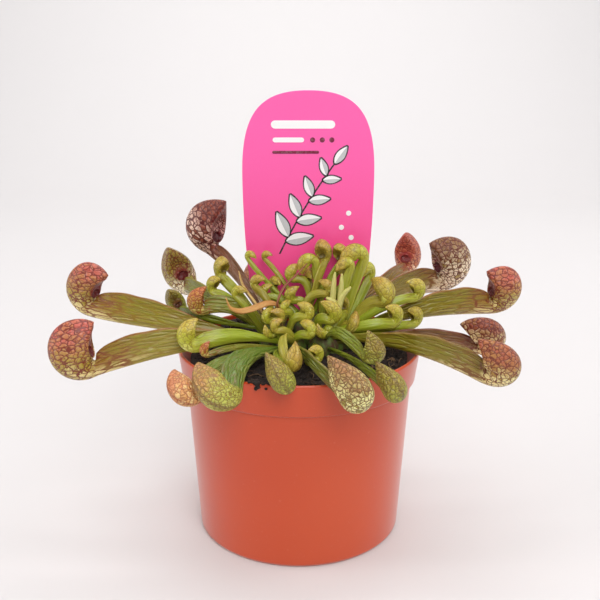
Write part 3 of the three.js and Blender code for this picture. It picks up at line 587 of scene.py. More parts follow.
# leaf finishes: a net of veins over panes that go from flushed at the top to pale windows low down
plainLook = {
    "stretch": (0.85, 0.85, 0.9), "cell": 0.72, "line": 0.075, "fine": 0.1, "ridge": 0.0, "tubeVeins": 0.16,
    "hoodVeins": 0.95, "longVeins": 0.75, "windowTop": 0.45, "windowLow": -0.1, "windowShare": 0.8,
    "tubeWindows": 0.9, "innerWindows": 0.5, "flushShare": 0.6, "foot": paint(112, 132, 34), "bumps": 0.0003,
    "variety": 0.0, "faceFrom": 0.35, "flushFrom": 0.0, "flushTo": 0.85,
}
leafLooks = {
    "red": dict(
        crown=paint(200, 100, 84), flank=paint(174, 152, 60), window=paint(238, 220, 152),
        vein=paint(116, 38, 30), tube=paint(142, 134, 30), flush=paint(158, 84, 46),
        keel=paint(186, 172, 70), inside=paint(124, 36, 36), stretch=(0.58, 0.95, 0.95), cell=0.64,
        line=0.085, windowTop=0.3, windowLow=-0.3, windowShare=0.65, flushFrom=0.05, flushTo=0.8),
    "maroon": dict(
        crown=paint(138, 66, 46), flank=paint(148, 80, 56), window=paint(250, 216, 196),
        vein=paint(84, 22, 20), tube=paint(124, 84, 46), flush=paint(120, 60, 44), keel=paint(158, 110, 70),
        inside=paint(88, 18, 20), stretch=(0.62, 0.95, 0.95), cell=0.64, line=0.1, windowTop=0.55,
        windowLow=-0.15, windowShare=0.7, flushShare=0.85, innerWindows=0.8),
    "dusk": dict(
        crown=paint(150, 78, 52), flank=paint(168, 138, 66), window=paint(246, 230, 176),
        vein=paint(98, 30, 24), tube=paint(118, 88, 40), flush=paint(122, 54, 42), keel=paint(160, 124, 66),
        inside=paint(104, 24, 28), cell=0.68, line=0.085, windowTop=0.9, windowLow=0.1, windowShare=0.75,
        flushShare=0.7, innerWindows=0.8),
    "olive": dict(
        crown=paint(160, 138, 62), flank=paint(170, 156, 66), window=paint(250, 238, 204),
        vein=paint(112, 44, 30), tube=paint(136, 142, 40), flush=paint(142, 118, 50),
        keel=paint(184, 182, 84), inside=paint(124, 34, 32), faceFrom=0.62, cell=0.66, line=0.08,
        windowTop=0.4, windowLow=-0.1, windowShare=0.8, flushShare=0.4, innerWindows=0.8),
    "russet": dict(
        crown=paint(176, 96, 66), flank=paint(178, 156, 66), window=paint(248, 234, 168),
        vein=paint(110, 44, 28), tube=paint(128, 122, 26), flush=paint(144, 92, 48),
        keel=paint(184, 168, 72), inside=paint(122, 32, 32), cell=0.68, line=0.085, windowTop=0.65,
        windowLow=0.0, windowShare=0.7, flushShare=0.5),
    "netted": dict(
        crown=paint(140, 90, 58), flank=paint(178, 152, 86), window=paint(248, 228, 200),
        vein=paint(98, 38, 28), tube=paint(134, 118, 44), flush=paint(146, 76, 50),
        keel=paint(206, 172, 124), inside=paint(112, 24, 30), cell=0.66, line=0.095, windowTop=0.85,
        windowLow=0.1, windowShare=0.8, flushFrom=0.2, flushTo=0.75),
    "gold": dict(
        crown=paint(214, 140, 96), flank=paint(220, 166, 100), window=paint(238, 204, 138),
        vein=paint(150, 72, 42), tube=paint(104, 128, 44), flush=paint(110, 120, 44),
        keel=paint(150, 162, 72), inside=paint(96, 60, 40), cell=0.78, line=0.07, windowTop=0.9,
        windowLow=0.1, windowShare=0.5, tubeWindows=0.0, ridge=0.5, bumps=0.0004, hoodVeins=0.7),
    "moss": dict(
        crown=paint(194, 138, 82), flank=paint(170, 168, 62), window=paint(188, 188, 84),
        vein=paint(112, 76, 36), tube=paint(92, 120, 34), flush=paint(100, 122, 38),
        keel=paint(150, 160, 72), inside=paint(96, 60, 40), cell=0.78, line=0.065, windowTop=0.7,
        windowLow=0.1, tubeWindows=0.0, flushShare=0.4, ridge=0.6, bumps=0.0004, hoodVeins=0.7),
    "bubbly": dict(
        crown=paint(180, 130, 84), flank=paint(166, 160, 66), window=paint(248, 240, 168),
        vein=paint(118, 80, 38), tube=paint(116, 128, 36), flush=paint(128, 106, 46),
        keel=paint(166, 162, 74), inside=paint(96, 60, 40), cell=0.78, line=0.09, windowTop=1.0,
        windowLow=0.25, windowShare=0.75, tubeWindows=0.2, flushShare=0.5, flushFrom=0.3, flushTo=0.95,
        bumps=0.0005),
    "green": dict(
        crown=paint(164, 142, 62), flank=paint(162, 168, 56), window=paint(196, 196, 92),
        vein=paint(102, 74, 32), tube=paint(122, 136, 30), flush=paint(134, 140, 40),
        keel=paint(176, 180, 74), inside=paint(108, 60, 34), cell=0.78, line=0.065, windowTop=0.5,
        windowShare=0.4, tubeWindows=0.1, flushShare=0.3, ridge=0.5, bumps=0.0004, hoodVeins=0.75),
    "lime": dict(
        crown=paint(194, 170, 68), flank=paint(182, 184, 52), window=paint(208, 206, 96),
        vein=paint(112, 82, 30), tube=paint(146, 162, 34), flush=paint(178, 176, 56),
        keel=paint(196, 202, 72), inside=paint(132, 112, 42), cell=0.6, line=0.05, windowTop=0.2,
        windowLow=-0.3, windowShare=0.2, tubeWindows=0.0, flushShare=0.6, tubeVeins=0.1, hoodVeins=0.62,
        longVeins=0.55, variety=0.5, blush=paint(186, 122, 74), bumps=0.00012, ridge=0.5),
    "ember": dict(
        crown=paint(196, 100, 78), flank=paint(200, 124, 84), window=paint(250, 214, 178),
        vein=paint(128, 40, 36), tube=paint(136, 112, 46), flush=paint(150, 78, 54),
        keel=paint(180, 146, 84), inside=paint(150, 56, 50), faceFrom=0.62, cell=0.7, line=0.075,
        windowTop=0.15, windowLow=-0.2, windowShare=0.6, innerWindows=0.9),
    "amber": dict(
        crown=paint(202, 122, 66), flank=paint(190, 156, 66), window=paint(222, 206, 108),
        vein=paint(150, 58, 34), tube=paint(134, 138, 42), flush=paint(108, 122, 64),
        keel=paint(188, 178, 74), inside=paint(110, 40, 30), cell=0.8, line=0.075, windowTop=0.1,
        windowLow=-0.3, windowShare=0.5, tubeWindows=0.3),
}


# what all leaf finishes share; their patterns are laid out in millimetres along, down and across the leaf
leafNet = {
    "roughness": 0.38, "glow": 0.1, "patch": 0.28, "loosening": 0.12, "wobble": 0.45,
    "onHood": (-0.08, 0.26), "nearMouth": (-0.5, -0.02), "hoodVeins": (-0.35, 0.1), "longVeins": (-0.4, 0.1),
    "hoodWobble": (1.3, 1.3, 1.3), "tubeWobble": (2.5, 0.4, 0.4), "tubeStretch": (0.16, 1.0, 1.0),
    "tubeCell": 1.05, "fineCell": 2.1, "ribSway": 0.9, "streak": (0.035, 1.3, 1.3), "pillow": 0.3,
    "deepShade": 0.6,
}


def leafFinish(name, look):
    net = leafNet
    finish, tree, shader = newFinish(name, net["roughness"])
    letLightIn(shader, net["glow"])
    tint = stored(tree, "tint")
    hood, rise, face = partsOf(tree, stored(tree, "zones"))
    share, low, wing = partsOf(tree, stored(tree, "edges"))
    shifted = added(tree, stored(tree, "flow"), tint)
    patch = noiseOf(tree, shifted, net["patch"])
    loosening = eased(tree, patch, 0.2, 0.8, -net["loosening"], net["loosening"])
    # past is below 0 on the tube and above 0 on the hood
    past = computed(tree, "ADD", computed(tree, "ADD", hood, share), -1.0)
    past = computed(tree, "ADD", past, loosening)
    onHood = eased(tree, past, *net["onHood"])
    nearMouth = eased(tree, past, *net["nearMouth"])

    # one net of veins: its cells are long on the tube and rounder on the hood
    noiseSettings = {"Vector": shifted, "Scale": net["wobble"], "Detail": 2.0}
    wobble = addNode(tree, "ShaderNodeTexNoise", noiseSettings).outputs["Color"]
    cell, line = look["cell"], look["line"]
    tubeCell = cell * net["tubeCell"]
    hoodSpace = scaled(tree, pushed(tree, shifted, wobble, net["hoodWobble"]), look["stretch"])
    tubeSpace = scaled(tree, pushed(tree, shifted, wobble, net["tubeWobble"]), net["tubeStretch"])
    edge = blended(tree, onHood, cellEdges(tree, tubeSpace, tubeCell), cellEdges(tree, hoodSpace, cell))
    pane = blended(tree, onHood, cellColour(tree, tubeSpace, tubeCell), cellColour(tree, hoodSpace, cell))
    veins = eased(tree, edge, line * 0.3, line * 1.5, 1.0, 0.0)
    fineEdge = cellEdges(tree, hoodSpace, cell * net["fineCell"])
    fineVeins = product(tree, eased(tree, fineEdge, 0.0, line * 1.3, look["fine"], 0.0), onHood)
    strength = eased(tree, past, *net["hoodVeins"], look["tubeVeins"], look["hoodVeins"])
    veins = product(tree, computed(tree, "MAXIMUM", veins, fineVeins), strength)

    # long veins through the net, from foot to beak
    sway = eased(tree, noiseOf(tree, shifted, 0.25, 2.0), 0.2, 0.8, -net["ribSway"], net["ribSway"])
    beside = computed(tree, "PINGPONG", computed(tree, "ADD", stored(tree, "ribs", "Fac"), sway), 0.5)
    strength = eased(tree, past, *net["longVeins"], 0.45, 1.0)
    longVeins = product(tree, eased(tree, beside, 0.0, 0.15, look["longVeins"], 0.0), strength)
    veins = computed(tree, "MAXIMUM", veins, longVeins)

    # pale windows between the veins, low on the hood and along the under side by the mouth
    level = computed(tree, "ADD", rise, loosening)
    hoodZone = product(tree, eased(tree, level, look["windowLow"], look["windowTop"], 1.0, 0.0), onHood)
    tubeZone = product(tree, nearMouth, eased(tree, low, 0.2, 0.6, 0.0, look["tubeWindows"]))
    tubeZone = product(tree, tubeZone, eased(tree, past, 0.0, 0.2, 1.0, 0.0))
    windowZone = computed(tree, "MAXIMUM", hoodZone, tubeZone)
    windowPane = eased(tree, edge, line * 0.6, line * 1.3)
    chosen = eased(tree, pane, 0.9 - look["windowShare"], 1.05 - look["windowShare"])
    windows = product(tree, product(tree, windowZone, windowPane), chosen)
    windows = product(tree, windows, eased(tree, beside, 0.02, 0.12, 0.35, 1.0))

    # the hood between its veins, flushed at the top
    flushed = eased(tree, level, look["flushFrom"], look["flushTo"])
    panes = mixed(tree, flushed, look["flank"], look["crown"])
    panes = mixed(tree, eased(tree, pane, 0.2, 0.9, 0.0, 0.3), panes, look["flank"])

    # the tube: long stripes, flushed by the mouth and along the wing's edge, yellower below
    streak = noiseOf(tree, scaled(tree, shifted, net["streak"]), 1.0, 2.0)
    striped = eased(tree, streak, 0.4, 0.75, 0.0, 0.4)
    byMouth = eased(tree, past, -0.35, 0.05, 0.0, 0.8)
    flushMix = product(tree, computed(tree, "ADD", striped, byMouth), look["flushShare"])
    flushMix = computed(tree, "MAXIMUM", flushMix, eased(tree, wing, 0.85, 1.0, 0.0, look["flushShare"]))
    tube = mixed(tree, flushMix, look["tube"], look["flush"])
    tube = mixed(tree, eased(tree, low, 0.55, 0.95, 0.0, 0.8), tube, look["keel"])
    tube = mixed(tree, eased(tree, share, 0.0, 0.3, 0.5, 0.0), tube, look["foot"])

    colour = mixed(tree, onHood, tube, panes)
    drawn = addNode(tree, "ShaderNodeTexWhiteNoise", {"Vector": tint}, noise_dimensions="3D")
    blush = look.get("blush", look["crown"])
    colour = mixed(tree, eased(tree, drawn.outputs["Value"], 0.4, 1.0, 0.0, look["variety"]), colour, blush)
    colour = mixed(tree, veins, colour, look["vein"])
    colour = mixed(tree, windows, colour, look["window"])
    ridge = product(tree, eased(tree, low, 0.985, 0.998, 0.0, look["ridge"]), onHood)
    colour = mixed(tree, ridge, colour, look["vein"])

    # the mouth's face and funnel, dark but for a few windows; deeper in, the funnel gets a painted shade
    closed = computed(tree, "ADD", product(tree, windows, -look["innerWindows"]), 1.0)
    facing = product(tree, eased(tree, face, look["faceFrom"], 0.98, 0.0, 0.92), closed)
    colour = mixed(tree, facing, colour, look["inside"])
    # painted shade: the blind funnel darkens towards its end, standing for the pitcher's shaded throat
    throatShade = tuple(net["deepShade"] * c for c in look["inside"][:3]) + (1.0,)
    colour = mixed(tree, eased(tree, face, 1.0, 1.5), colour, throatShade)
    tree.links.new(colour, shader.inputs["Base Color"])

    pillow = eased(tree, edge, 0.0, net["pillow"])
    raised(tree, shader, computed(tree, "ADD", pillow, product(tree, streak, 0.6)), look["bumps"], 0.9)
    return finish


print("making leaf finishes")
leafFinishes = {name: leafFinish("leaf_" + name, {**plainLook, **look}) for name, look in leafLooks.items()}
recordSlots = {row["node"]: row["material_slot"] for row in frame["record"]["subparts"]}


# each leaf's pattern is moved on by these steps, so that no two are alike
patternSteps = {"grown": (7.3, 3.1, 5.7), "young": (5.1, 2.3, 9.7)}


def growGrownPitchers():
    for order, (name, shape) in enumerate(grownPitchers.items()):
        leaf = growLeaf(shape, grownSteps, footOn(shape))
        shade = tuple(order * step for step in patternSteps["grown"])
        piece = leafPiece(name + "_leaf", [leaf], leafFinishes[shape["look"]], [shade])
        seat(piece, recordSlots[name], name)


def growYoungPitchers():
    for name, clump in youngPitchers.items():
        leaves = [growLeaf({**young, **shoot}, youngSteps, shoot["foot"]) for shoot in clump["shoots"]]
        shades = [tuple(i * step for step in patternSteps["young"]) for i in range(len(leaves))]
        piece = leafPiece(name + "_leaves", leaves, leafFinishes["lime"], shades)
        seat(piece, recordSlots[name], name)


growGrownPitchers()
print("grown pitchers made:", len(grownPitchers))
growYoungPitchers()
print("young pitchers made:", sum(len(clump["shoots"]) for clump in youngPitchers.values()))


# straps: withered leaves and shut buds, each along a path from its growing point to its tip
straps = {
    "withered_leaf_curved": dict(finish="curved", leaves=[
        dict(path=[(-6, -3, 75), (-6.4, -1.4, 82), (-7.8, -1.8, 87), (-11.2, -3.2, 88.2), (-15, -4.6, 87.3),
                   (-18.4, -5.7, 86.4), (-21.8, -7.1, 86.3), (-24.8, -8.2, 88), (-26.3, -8.6, 91.7)],
             width=1.5, thickness=3.8),
    ]),
    "withered_leaf_thin": dict(finish="thin", leaves=[
        dict(path=[(-10, 4, 75), (-13, 2, 82), (-17, 3, 87.5), (-21, 5, 93), (-22.5, 6, 98)],
             width=2.2, thickness=1.2),
    ]),
    "withered_leaf_twisted": dict(finish="twisted", leaves=[
        dict(path=[(-5, -2, 75), (-8, -2, 83), (-7.5, -4, 90), (-5, -2, 94.5), (-0.5, 0, 98.5), (3, 2, 102)],
             width=2.4, thickness=1),
    ]),
    "buds": dict(finish="bud", leaves=[
        dict(path=[(11.5, -4.5, 75), (12, -4, 83), (12.5, -3, 92), (13.1, -2.5, 99.8)],
             width=2.8, thickness=2.4),
        dict(path=[(12, -4.5, 75), (14, -4, 83), (15.2, -3, 92), (15.6, -2.5, 99.2)],
             width=2.8, thickness=2.4),
        dict(path=[(12, -4.5, 76), (14, -4, 84), (15.6, -3.5, 90.5), (18.8, -4, 94.6)],
             width=3.4, thickness=2.8),
        dict(path=[(11.5, -4.5, 76), (12.5, -4, 84), (12.8, -4, 88.5), (9.9, -5, 90.8)],
             width=3.8, thickness=3.2),
    ]),
}
strapForm = {
    "sides": 24, "steps": 60, "ends": 0.35, "tipLoss": 0.12, "widestLate": 1.6, "fullness": 0.8,
    "creases": 3, "creaseDepth": 0.1, "creaseSwing": 2.2, "creaseTurns": 5,
}
strapLooks = {
    "curved": dict(
        base=paint(196, 146, 76), blotch=paint(166, 112, 56),
        foot=paint(128, 108, 50), crease=1.0),
    "thin": dict(
        base=paint(210, 178, 110), blotch=paint(170, 128, 74),
        foot=paint(128, 116, 62), crease=1.0),
    "twisted": dict(
        base=paint(150, 92, 62), blotch=paint(104, 54, 42),
        foot=paint(150, 120, 74), crease=1.0),
    "bud": dict(
        base=paint(210, 200, 122), blotch=paint(158, 160, 68),
        foot=paint(128, 158, 60), crease=0.25),
}


def curveThrough(path, count):
    # a smooth curve through the points, at even steps
    knots = [np.array(point, float) for point in path]
    knots = [2 * knots[0] - knots[1]] + knots + [2 * knots[-1] - knots[-2]]
    dense = []
    for i in range(1, len(knots) - 2):
        p0, p1, p2, p3 = knots[i - 1:i + 3]
        d0, d1, d2 = (np.sqrt(np.linalg.norm(b - a)) for a, b in ((p0, p1), (p1, p2), (p2, p3)))
        leave = ((p1 - p0) / d0 - (p2 - p0) / (d0 + d1) + (p2 - p1) / d1) * d1
        arrive = ((p2 - p1) / d1 - (p3 - p1) / (d1 + d2) + (p3 - p2) / d2) * d1
        for t in np.linspace(0, 1, 60, endpoint=i == len(knots) - 3):
            dense.append(p1 + leave * t + (3 * (p2 - p1) - 2 * leave - arrive) * t ** 2
                         + (2 * (p1 - p2) + leave + arrive) * t ** 3)
    dense = np.array(dense)
    length = np.concatenate([[0], np.cumsum(np.linalg.norm(np.diff(dense, axis=0), axis=1))])
    even = np.linspace(0, length[-1], count)
    return np.stack([np.interp(even, length, dense[:, k]) for k in range(3)], axis=1)


def sideDirections(line):
    # two directions across the curve at each step, turned as little as can be
    slopes = np.gradient(line, axis=0)
    slopes /= np.linalg.norm(slopes, axis=1)[:, None]
    start = np.zeros(3)
    start[int(np.argmin(np.abs(slopes[0])))] = 1
    normal = np.cross(slopes[0], unit(np.cross(slopes[0], start)))
    normals = [normal]
    for before, after in zip(slopes, slopes[1:]):
        axis = np.cross(before, after)
        if np.linalg.norm(axis) > 1e-9:
            angle = math.acos(min(1, max(-1, float(np.dot(before, after)))))
            normal = turnedAbout(normal, unit(axis), angle)
        normals.append(normal)
    normals = np.array(normals)
    return normals, np.cross(slopes, normals)


def strapLeaf(strap, crease):
    form = strapForm
    sides, steps = form["sides"], form["steps"]
    line = curveThrough(strap["path"], steps + 1)
    normals, binormals = sideDirections(line)
    around = np.arange(sides) * 2 * math.pi / sides
    leaf = Leaf(sides)
    step = np.linalg.norm(line[1] - line[0])
    for i in range(steps + 1):
        s = i / steps
        middle = max(0, math.sin(math.pi * s ** form["widestLate"])) ** form["fullness"]
        swell = form["ends"] + (1 - form["ends"]) * middle - form["tipLoss"] * s
        swing = form["creaseSwing"] * math.sin(form["creaseTurns"] * s)
        ripple = np.sin(form["creases"] * around + swing + strap["width"]) ** 2
        body = 1 - form["creaseDepth"] * crease * ripple
        across = np.cos(around) * strap["width"] / 2 * swell
        thick = np.sin(around) * strap["thickness"] / 2 * swell * body
        points = line[i] + np.outer(across, normals[i]) + np.outer(thick, binormals[i])
        leaf.addRing(points, stacked(i * step, across, thick, count=sides),
                     stacked(0, s, 0, count=sides), stacked(s, np.abs(np.cos(around)), 0, count=sides),
                     np.zeros(sides))
    return leaf


def strapFinish(name, look):
    finish, tree, shader = newFinish(name, 0.55)
    letLightIn(shader, 0.15)
    share, rim, _ = partsOf(tree, stored(tree, "edges"))
    shifted = added(tree, stored(tree, "flow"), stored(tree, "tint"))
    streak = noiseOf(tree, scaled(tree, shifted, (0.12, 1.8, 1.8)), 1.0, 4.0)
    blotch = noiseOf(tree, scaled(tree, shifted, (0.3, 0.5, 0.5)), 1.0, 3.0)
    colour = mixed(tree, eased(tree, streak, 0.3, 0.75, 0.0, 0.75), look["base"], look["blotch"])
    colour = mixed(tree, eased(tree, blotch, 0.5, 0.75, 0.0, 0.6), colour, look["blotch"])
    colour = mixed(tree, eased(tree, share, 0.0, 0.4, 1.0, 0.0), colour, look["foot"])
    colour = mixed(tree, eased(tree, rim, 0.9, 1.0, 0.0, 0.35), colour, look["base"])
    tree.links.new(colour, shader.inputs["Base Color"])
    raised(tree, shader, streak, 0.0003, 0.7)
    return finish


def makeStraps():
    for order, (name, strap) in enumerate(straps.items()):
        look = strapLooks[strap["finish"]]
        leaves = [strapLeaf(leaf, look["crease"]) for leaf in strap["leaves"]]
        shades = [(order * 3.3 + i * 4.1, i * 2.9, order * 6.1) for i in range(len(leaves))]
        piece = leafPiece(name + "_fine", leaves, strapFinish("strap_" + strap["finish"], look), shades)
        seat(piece, recordSlots[name], name)


makeStraps()
print("withered leaves and buds made")

# the growing points, short green-brown cushions of old leaf bases
heartLook = {
    "green": paint(96, 120, 46), "brown": paint(84, 58, 34), "dark": paint(58, 38, 26),
    "rings": 26, "sides": 40, "scales": 0.06, "lobes": 9, "lean": 3,
    "blotch": 320.0, "streak": (900.0, 900.0, 160.0), "bumps": 0.0004,
}


def heartFinish():
    finish, tree, shader = newFinish("growing_point", 0.6)
    position = placeOf(tree)
    blotch = noiseOf(tree, position, heartLook["blotch"], 4.0)
    streak = noiseOf(tree, scaled(tree, position, heartLook["streak"]), 1.0, 3.0)
    colour = mixed(tree, eased(tree, blotch, 0.35, 0.65), heartLook["green"], heartLook["brown"])
    colour = mixed(tree, eased(tree, streak, 0.5, 0.8, 0.0, 0.6), colour, heartLook["dark"])
    tree.links.new(colour, shader.inputs["Base Color"])
    raised(tree, shader, streak, heartLook["bumps"], 0.8)
    return finish


def makeHearts():
    points, faces = [], []
    rings, sides = heartLook["rings"], heartLook["sides"]
    for order, point in enumerate(growingPoints.values()):
        x, y, z = point["at"]
        first = len(points)
        for i in range(rings):
            tall = math.pi * (i + 0.5) / rings
            for j in range(sides):
                around = 2 * math.pi * (j + 0.5 * (i % 2)) / sides
                scale = math.sin(heartLook["lobes"] * around + heartLook["lean"] * tall + order)
                out = point["radius"] * (1 + heartLook["scales"] * scale * math.sin(tall)) * math.sin(tall)
                points.append((x + out * math.cos(around), y + out * math.sin(around),
                               z - point["rise"] * math.cos(tall)))
        faces += ringFaces(rings, sides, first)
        points += [(x, y, z - point["rise"]), (x, y, z + point["rise"])]
    seat(makePiece("growing_points", points, faces, heartFinish()), "young_leaf")


makeHearts()

# the nursery pot: a thin moulded wall turned about the upright axis, with drain holes
pot = {
    "height": 72, "footRadius": 38.3, "bodyTopRadius": 42, "bandHeight": 12, "bandFootRadius": 43.5,
    "rimRadius": 45, "wall": 1.2, "floor": 1.6, "rounding": 1.2, "lip": 0.5,
    "holeRadius": 3.2, "holeRing": 24, "holes": 6, "sides": 180,
    "drillFrom": -2, "drillTo": 4, "drillSides": 32,
}
potLook = {
    "base": paint(188, 66, 30), "light": paint(196, 76, 38), "dust": paint(214, 138, 112),
    "roughness": 0.31, "smoother": 0.03, "rougher": 0.04, "ior": 1.46, "sheen": 0.25, "sheenRoughness": 0.4,
    "cloud": 16.0, "wear": 20.0, "speck": 900.0, "grain": 2600.0, "bumps": 0.00003,
}


def potOutline():
    bandFoot = pot["height"] - pot["bandHeight"]
    lip, wall, floor, rounding = pot["lip"], pot["wall"], pot["floor"], pot["rounding"]
    foot, top, band, rim = pot["footRadius"], pot["bodyTopRadius"], pot["bandFootRadius"], pot["rimRadius"]
    return [
        ((0, 0), 0), ((foot - rounding, 0), 0.4), ((foot, rounding), 0.7), ((top, bandFoot - 0.05), 0.3),
        ((band - lip, bandFoot), 0.2), ((band, bandFoot + lip), 0.3), ((rim, pot["height"] - lip), 0.3),
        ((rim - lip / 2, pot["height"]), 0.2), ((rim - wall + lip / 2, pot["height"]), 0.2),
        ((rim - wall, pot["height"] - lip), 0.3), ((band - wall, bandFoot + wall + lip), 0.6),
        ((top - wall, bandFoot - lip), 0.6), ((foot - wall, floor + rounding), 0.6),
        ((foot - wall - rounding, floor), 0.4), ((0, floor), 0),
    ]


def roundedCorners(outline, steps=5):
    # each corner becomes a short curve
    result = [np.array(outline[0][0], float)]
    for (before, _), (corner, radius), (after, _) in zip(outline, outline[1:], outline[2:]):
        before, corner, after = (np.array(p, float) for p in (before, corner, after))
        near = corner + unit(before - corner) * min(radius, np.linalg.norm(before - corner) * 0.45)
        far = corner + unit(after - corner) * min(radius, np.linalg.norm(after - corner) * 0.45)
        for t in np.linspace(0, 1, steps):
            result.append((1 - t) ** 2 * near + 2 * t * (1 - t) * corner + t ** 2 * far)
    result.append(np.array(outline[-1][0], float))
    return result


def turnedPiece(name, outline, sides, finish):
    points = [(0, 0, outline[0][1])]
    angles = np.arange(sides) * 2 * math.pi / sides
    for radius, z in outline[1:-1]:
        points += [(radius * math.cos(a), radius * math.sin(a), z) for a in angles]
    points.append((0, 0, outline[-1][1]))
    faces = []
    rings = len(outline) - 2
    for j in range(sides):
        k = (j + 1) % sides
        faces.append((0, 1 + k, 1 + j))
        for i in range(rings - 1):
            low, high = 1 + i * sides, 1 + (i + 1) * sides
            faces.append((low + j, low + k, high + k, high + j))
        faces.append((1 + (rings - 1) * sides + j, 1 + (rings - 1) * sides + k, len(points) - 1))
    return makePiece(name, points, faces, finish)


def cutHoles(piece, cutters):
    for cutter in cutters:
        change = piece.modifiers.new("drain_hole", "BOOLEAN")
        change.object = cutter
        change.operation = "DIFFERENCE"
        change.solver = "EXACT"
    shown = piece.evaluated_get(bpy.context.evaluated_depsgraph_get())
    mesh = bpy.data.meshes.new_from_object(shown)
    piece.modifiers.clear()
    piece.data = mesh
    for cutter in cutters:
        bpy.data.objects.remove(cutter)


def potFinish():
    finish, tree, shader = newFinish("terracotta_plastic", potLook["roughness"])
    shader.inputs["IOR"].default_value = potLook["ior"]
    shader.inputs["Sheen Weight"].default_value = potLook["sheen"]
    shader.inputs["Sheen Roughness"].default_value = potLook["sheenRoughness"]
    position = placeOf(tree)
    cloud = noiseOf(tree, position, potLook["cloud"], 1.0)
    speck = noiseOf(tree, position, potLook["speck"], 2.0)
    grain = noiseOf(tree, position, potLook["grain"], 2.0)
    colour = mixed(tree, eased(tree, cloud, 0.3, 0.7), potLook["base"], potLook["light"])
    colour = mixed(tree, eased(tree, speck, 0.64, 0.78, 0.0, 0.14), colour, potLook["dust"])
    tree.links.new(colour, shader.inputs["Base Color"])
    smoothest = potLook["roughness"] - potLook["smoother"]
    roughest = potLook["roughness"] + potLook["rougher"]
    wear = noiseOf(tree, position, potLook["wear"], 1.0)
    rough = eased(tree, wear, 0.2, 0.8, smoothest, roughest)
    tree.links.new(rough, shader.inputs["Roughness"])
    raised(tree, shader, grain, potLook["bumps"], 0.5)
    return finish


def makePot():
    finish = potFinish()
    piece = turnedPiece("pot_wall", roundedCorners(potOutline()), pot["sides"], finish)
    hole, low, high = pot["holeRadius"], pot["drillFrom"], pot["drillTo"]
    cutters = []
    for i in range(pot["holes"]):
        around = i * 2 * math.pi / pot["holes"]
        x, y = pot["holeRing"] * math.cos(around), pot["holeRing"] * math.sin(around)
        outline = [(0, low), (hole, low), (hole, high), (0, high)]
        cutter = turnedPiece("drain_cutter", outline, pot["drillSides"], finish)
        cutter.location = (x * mm, y * mm, 0)
        cutters.append(cutter)
    cutHoles(piece, cutters)
    seat(piece, "pot", "pot")


makePot()
print("pot made")

# the peat: a rough surface with loose crumbs and root fibres on it
soil = {
    "edge": 67.5, "crown": 2.6, "spread": 24, "roughness": 0.45, "gap": 0.35, "rings": 70, "sides": 200,
    "heaps": [{"at": (34, 19), "rise": 7, "spread": 6}, {"at": (-25, 31), "rise": 4.2, "spread": 12}],
}
# crumbs lie all over, more on the first heap, and a few on the rim at a bearing in degrees
crumbs = {
    "count": 1150, "smallest": 0.45, "largest": 1.7, "heapCrumbs": 130, "heapOff": -1, "heapScatter": 3,
    "rimCrumbs": 46, "rimBearing": 252, "rimScatter": 1.8, "rimFrom": 43, "rimTo": 45.4, "spillFrom": 44.9,
    "spillSlope": 4,
}
fibres = {
    "count": 170, "thickness": 0.16, "shortest": 3, "longest": 9, "steps": 9, "sides": 4, "bend": 0.35,
    "lift": 0.15, "arch": 0.9, "clear": 1.5, "dark": paint(64, 44, 32), "light": paint(122, 94, 66),
}
peatLook = {
    "dark": paint(26, 18, 15), "mid": paint(52, 37, 29), "light": paint(96, 72, 54),
    "lump": 420.0, "speck": 1900.0, "bumps": 0.0012,
}


def innerRadius(z):
    low, high = pot["footRadius"] - pot["wall"], pot["bodyTopRadius"] - pot["wall"]
    bandFoot = pot["height"] - pot["bandHeight"]
    return low + (high - low) * (min(z, bandFoot) - pot["floor"]) / (bandFoot - pot["floor"])


def soilTop(x, y):
    dome = soil["crown"] * math.exp(-(x * x + y * y) / soil["spread"] ** 2)
    heaps = sum(heap["rise"] * math.exp(-math.dist((x, y), heap["at"]) ** 2 / heap["spread"] ** 2)
                for heap in soil["heaps"])
    crumb = math.sin(x * 0.83 + 1.7 * math.sin(y * 0.37)) * math.cos(y * 0.71 - x * 0.29)
    fine = noise.fractal(Vector((x * 0.55, y * 0.55, 3.1)), 1.0, 2.0, 4) * 0.5
    return soil["edge"] + dome + heaps + soil["roughness"] * crumb + fine


def peatFinish():
    finish, tree, shader = newFinish("peat", 0.9)
    position = placeOf(tree)
    lump = noiseOf(tree, position, peatLook["lump"], 6.0, 0.65)
    speck = noiseOf(tree, position, peatLook["speck"], 3.0)
    colour = mixed(tree, eased(tree, lump, 0.35, 0.68), peatLook["dark"], peatLook["mid"])
    colour = mixed(tree, eased(tree, speck, 0.6, 0.78, 0.0, 0.7), colour, peatLook["light"])
    tree.links.new(colour, shader.inputs["Base Color"])
    raised(tree, shader, lump, peatLook["bumps"], 0.9)
    return finish


def makeSoil(finish):
    sides, rings = soil["sides"], soil["rings"]
    bottom = pot["floor"] + soil["gap"]
    shoulder = bottom + pot["rounding"]
    edgeRadius = innerRadius(soil["edge"]) - soil["gap"]
    levels = [(innerRadius(bottom) - soil["gap"] - pot["rounding"], bottom),
              (innerRadius(shoulder) - soil["gap"], shoulder)]
    angles = np.arange(sides) * 2 * math.pi / sides
    points = [(r * math.cos(a), r * math.sin(a), z) for r, z in levels for a in angles]
    for i in range(rings):
        r = edgeRadius * (1 - i / rings)
        places = [(r * math.cos(a), r * math.sin(a)) for a in angles]
        points += [(x, y, soilTop(x, y)) for x, y in places]
    faces = ringFaces(rings + 2, sides, 0)
    points += [(0, 0, bottom), (0, 0, soilTop(0, 0))]
    seat(makePiece("peat_surface", points, faces, finish), "soil", "soil")


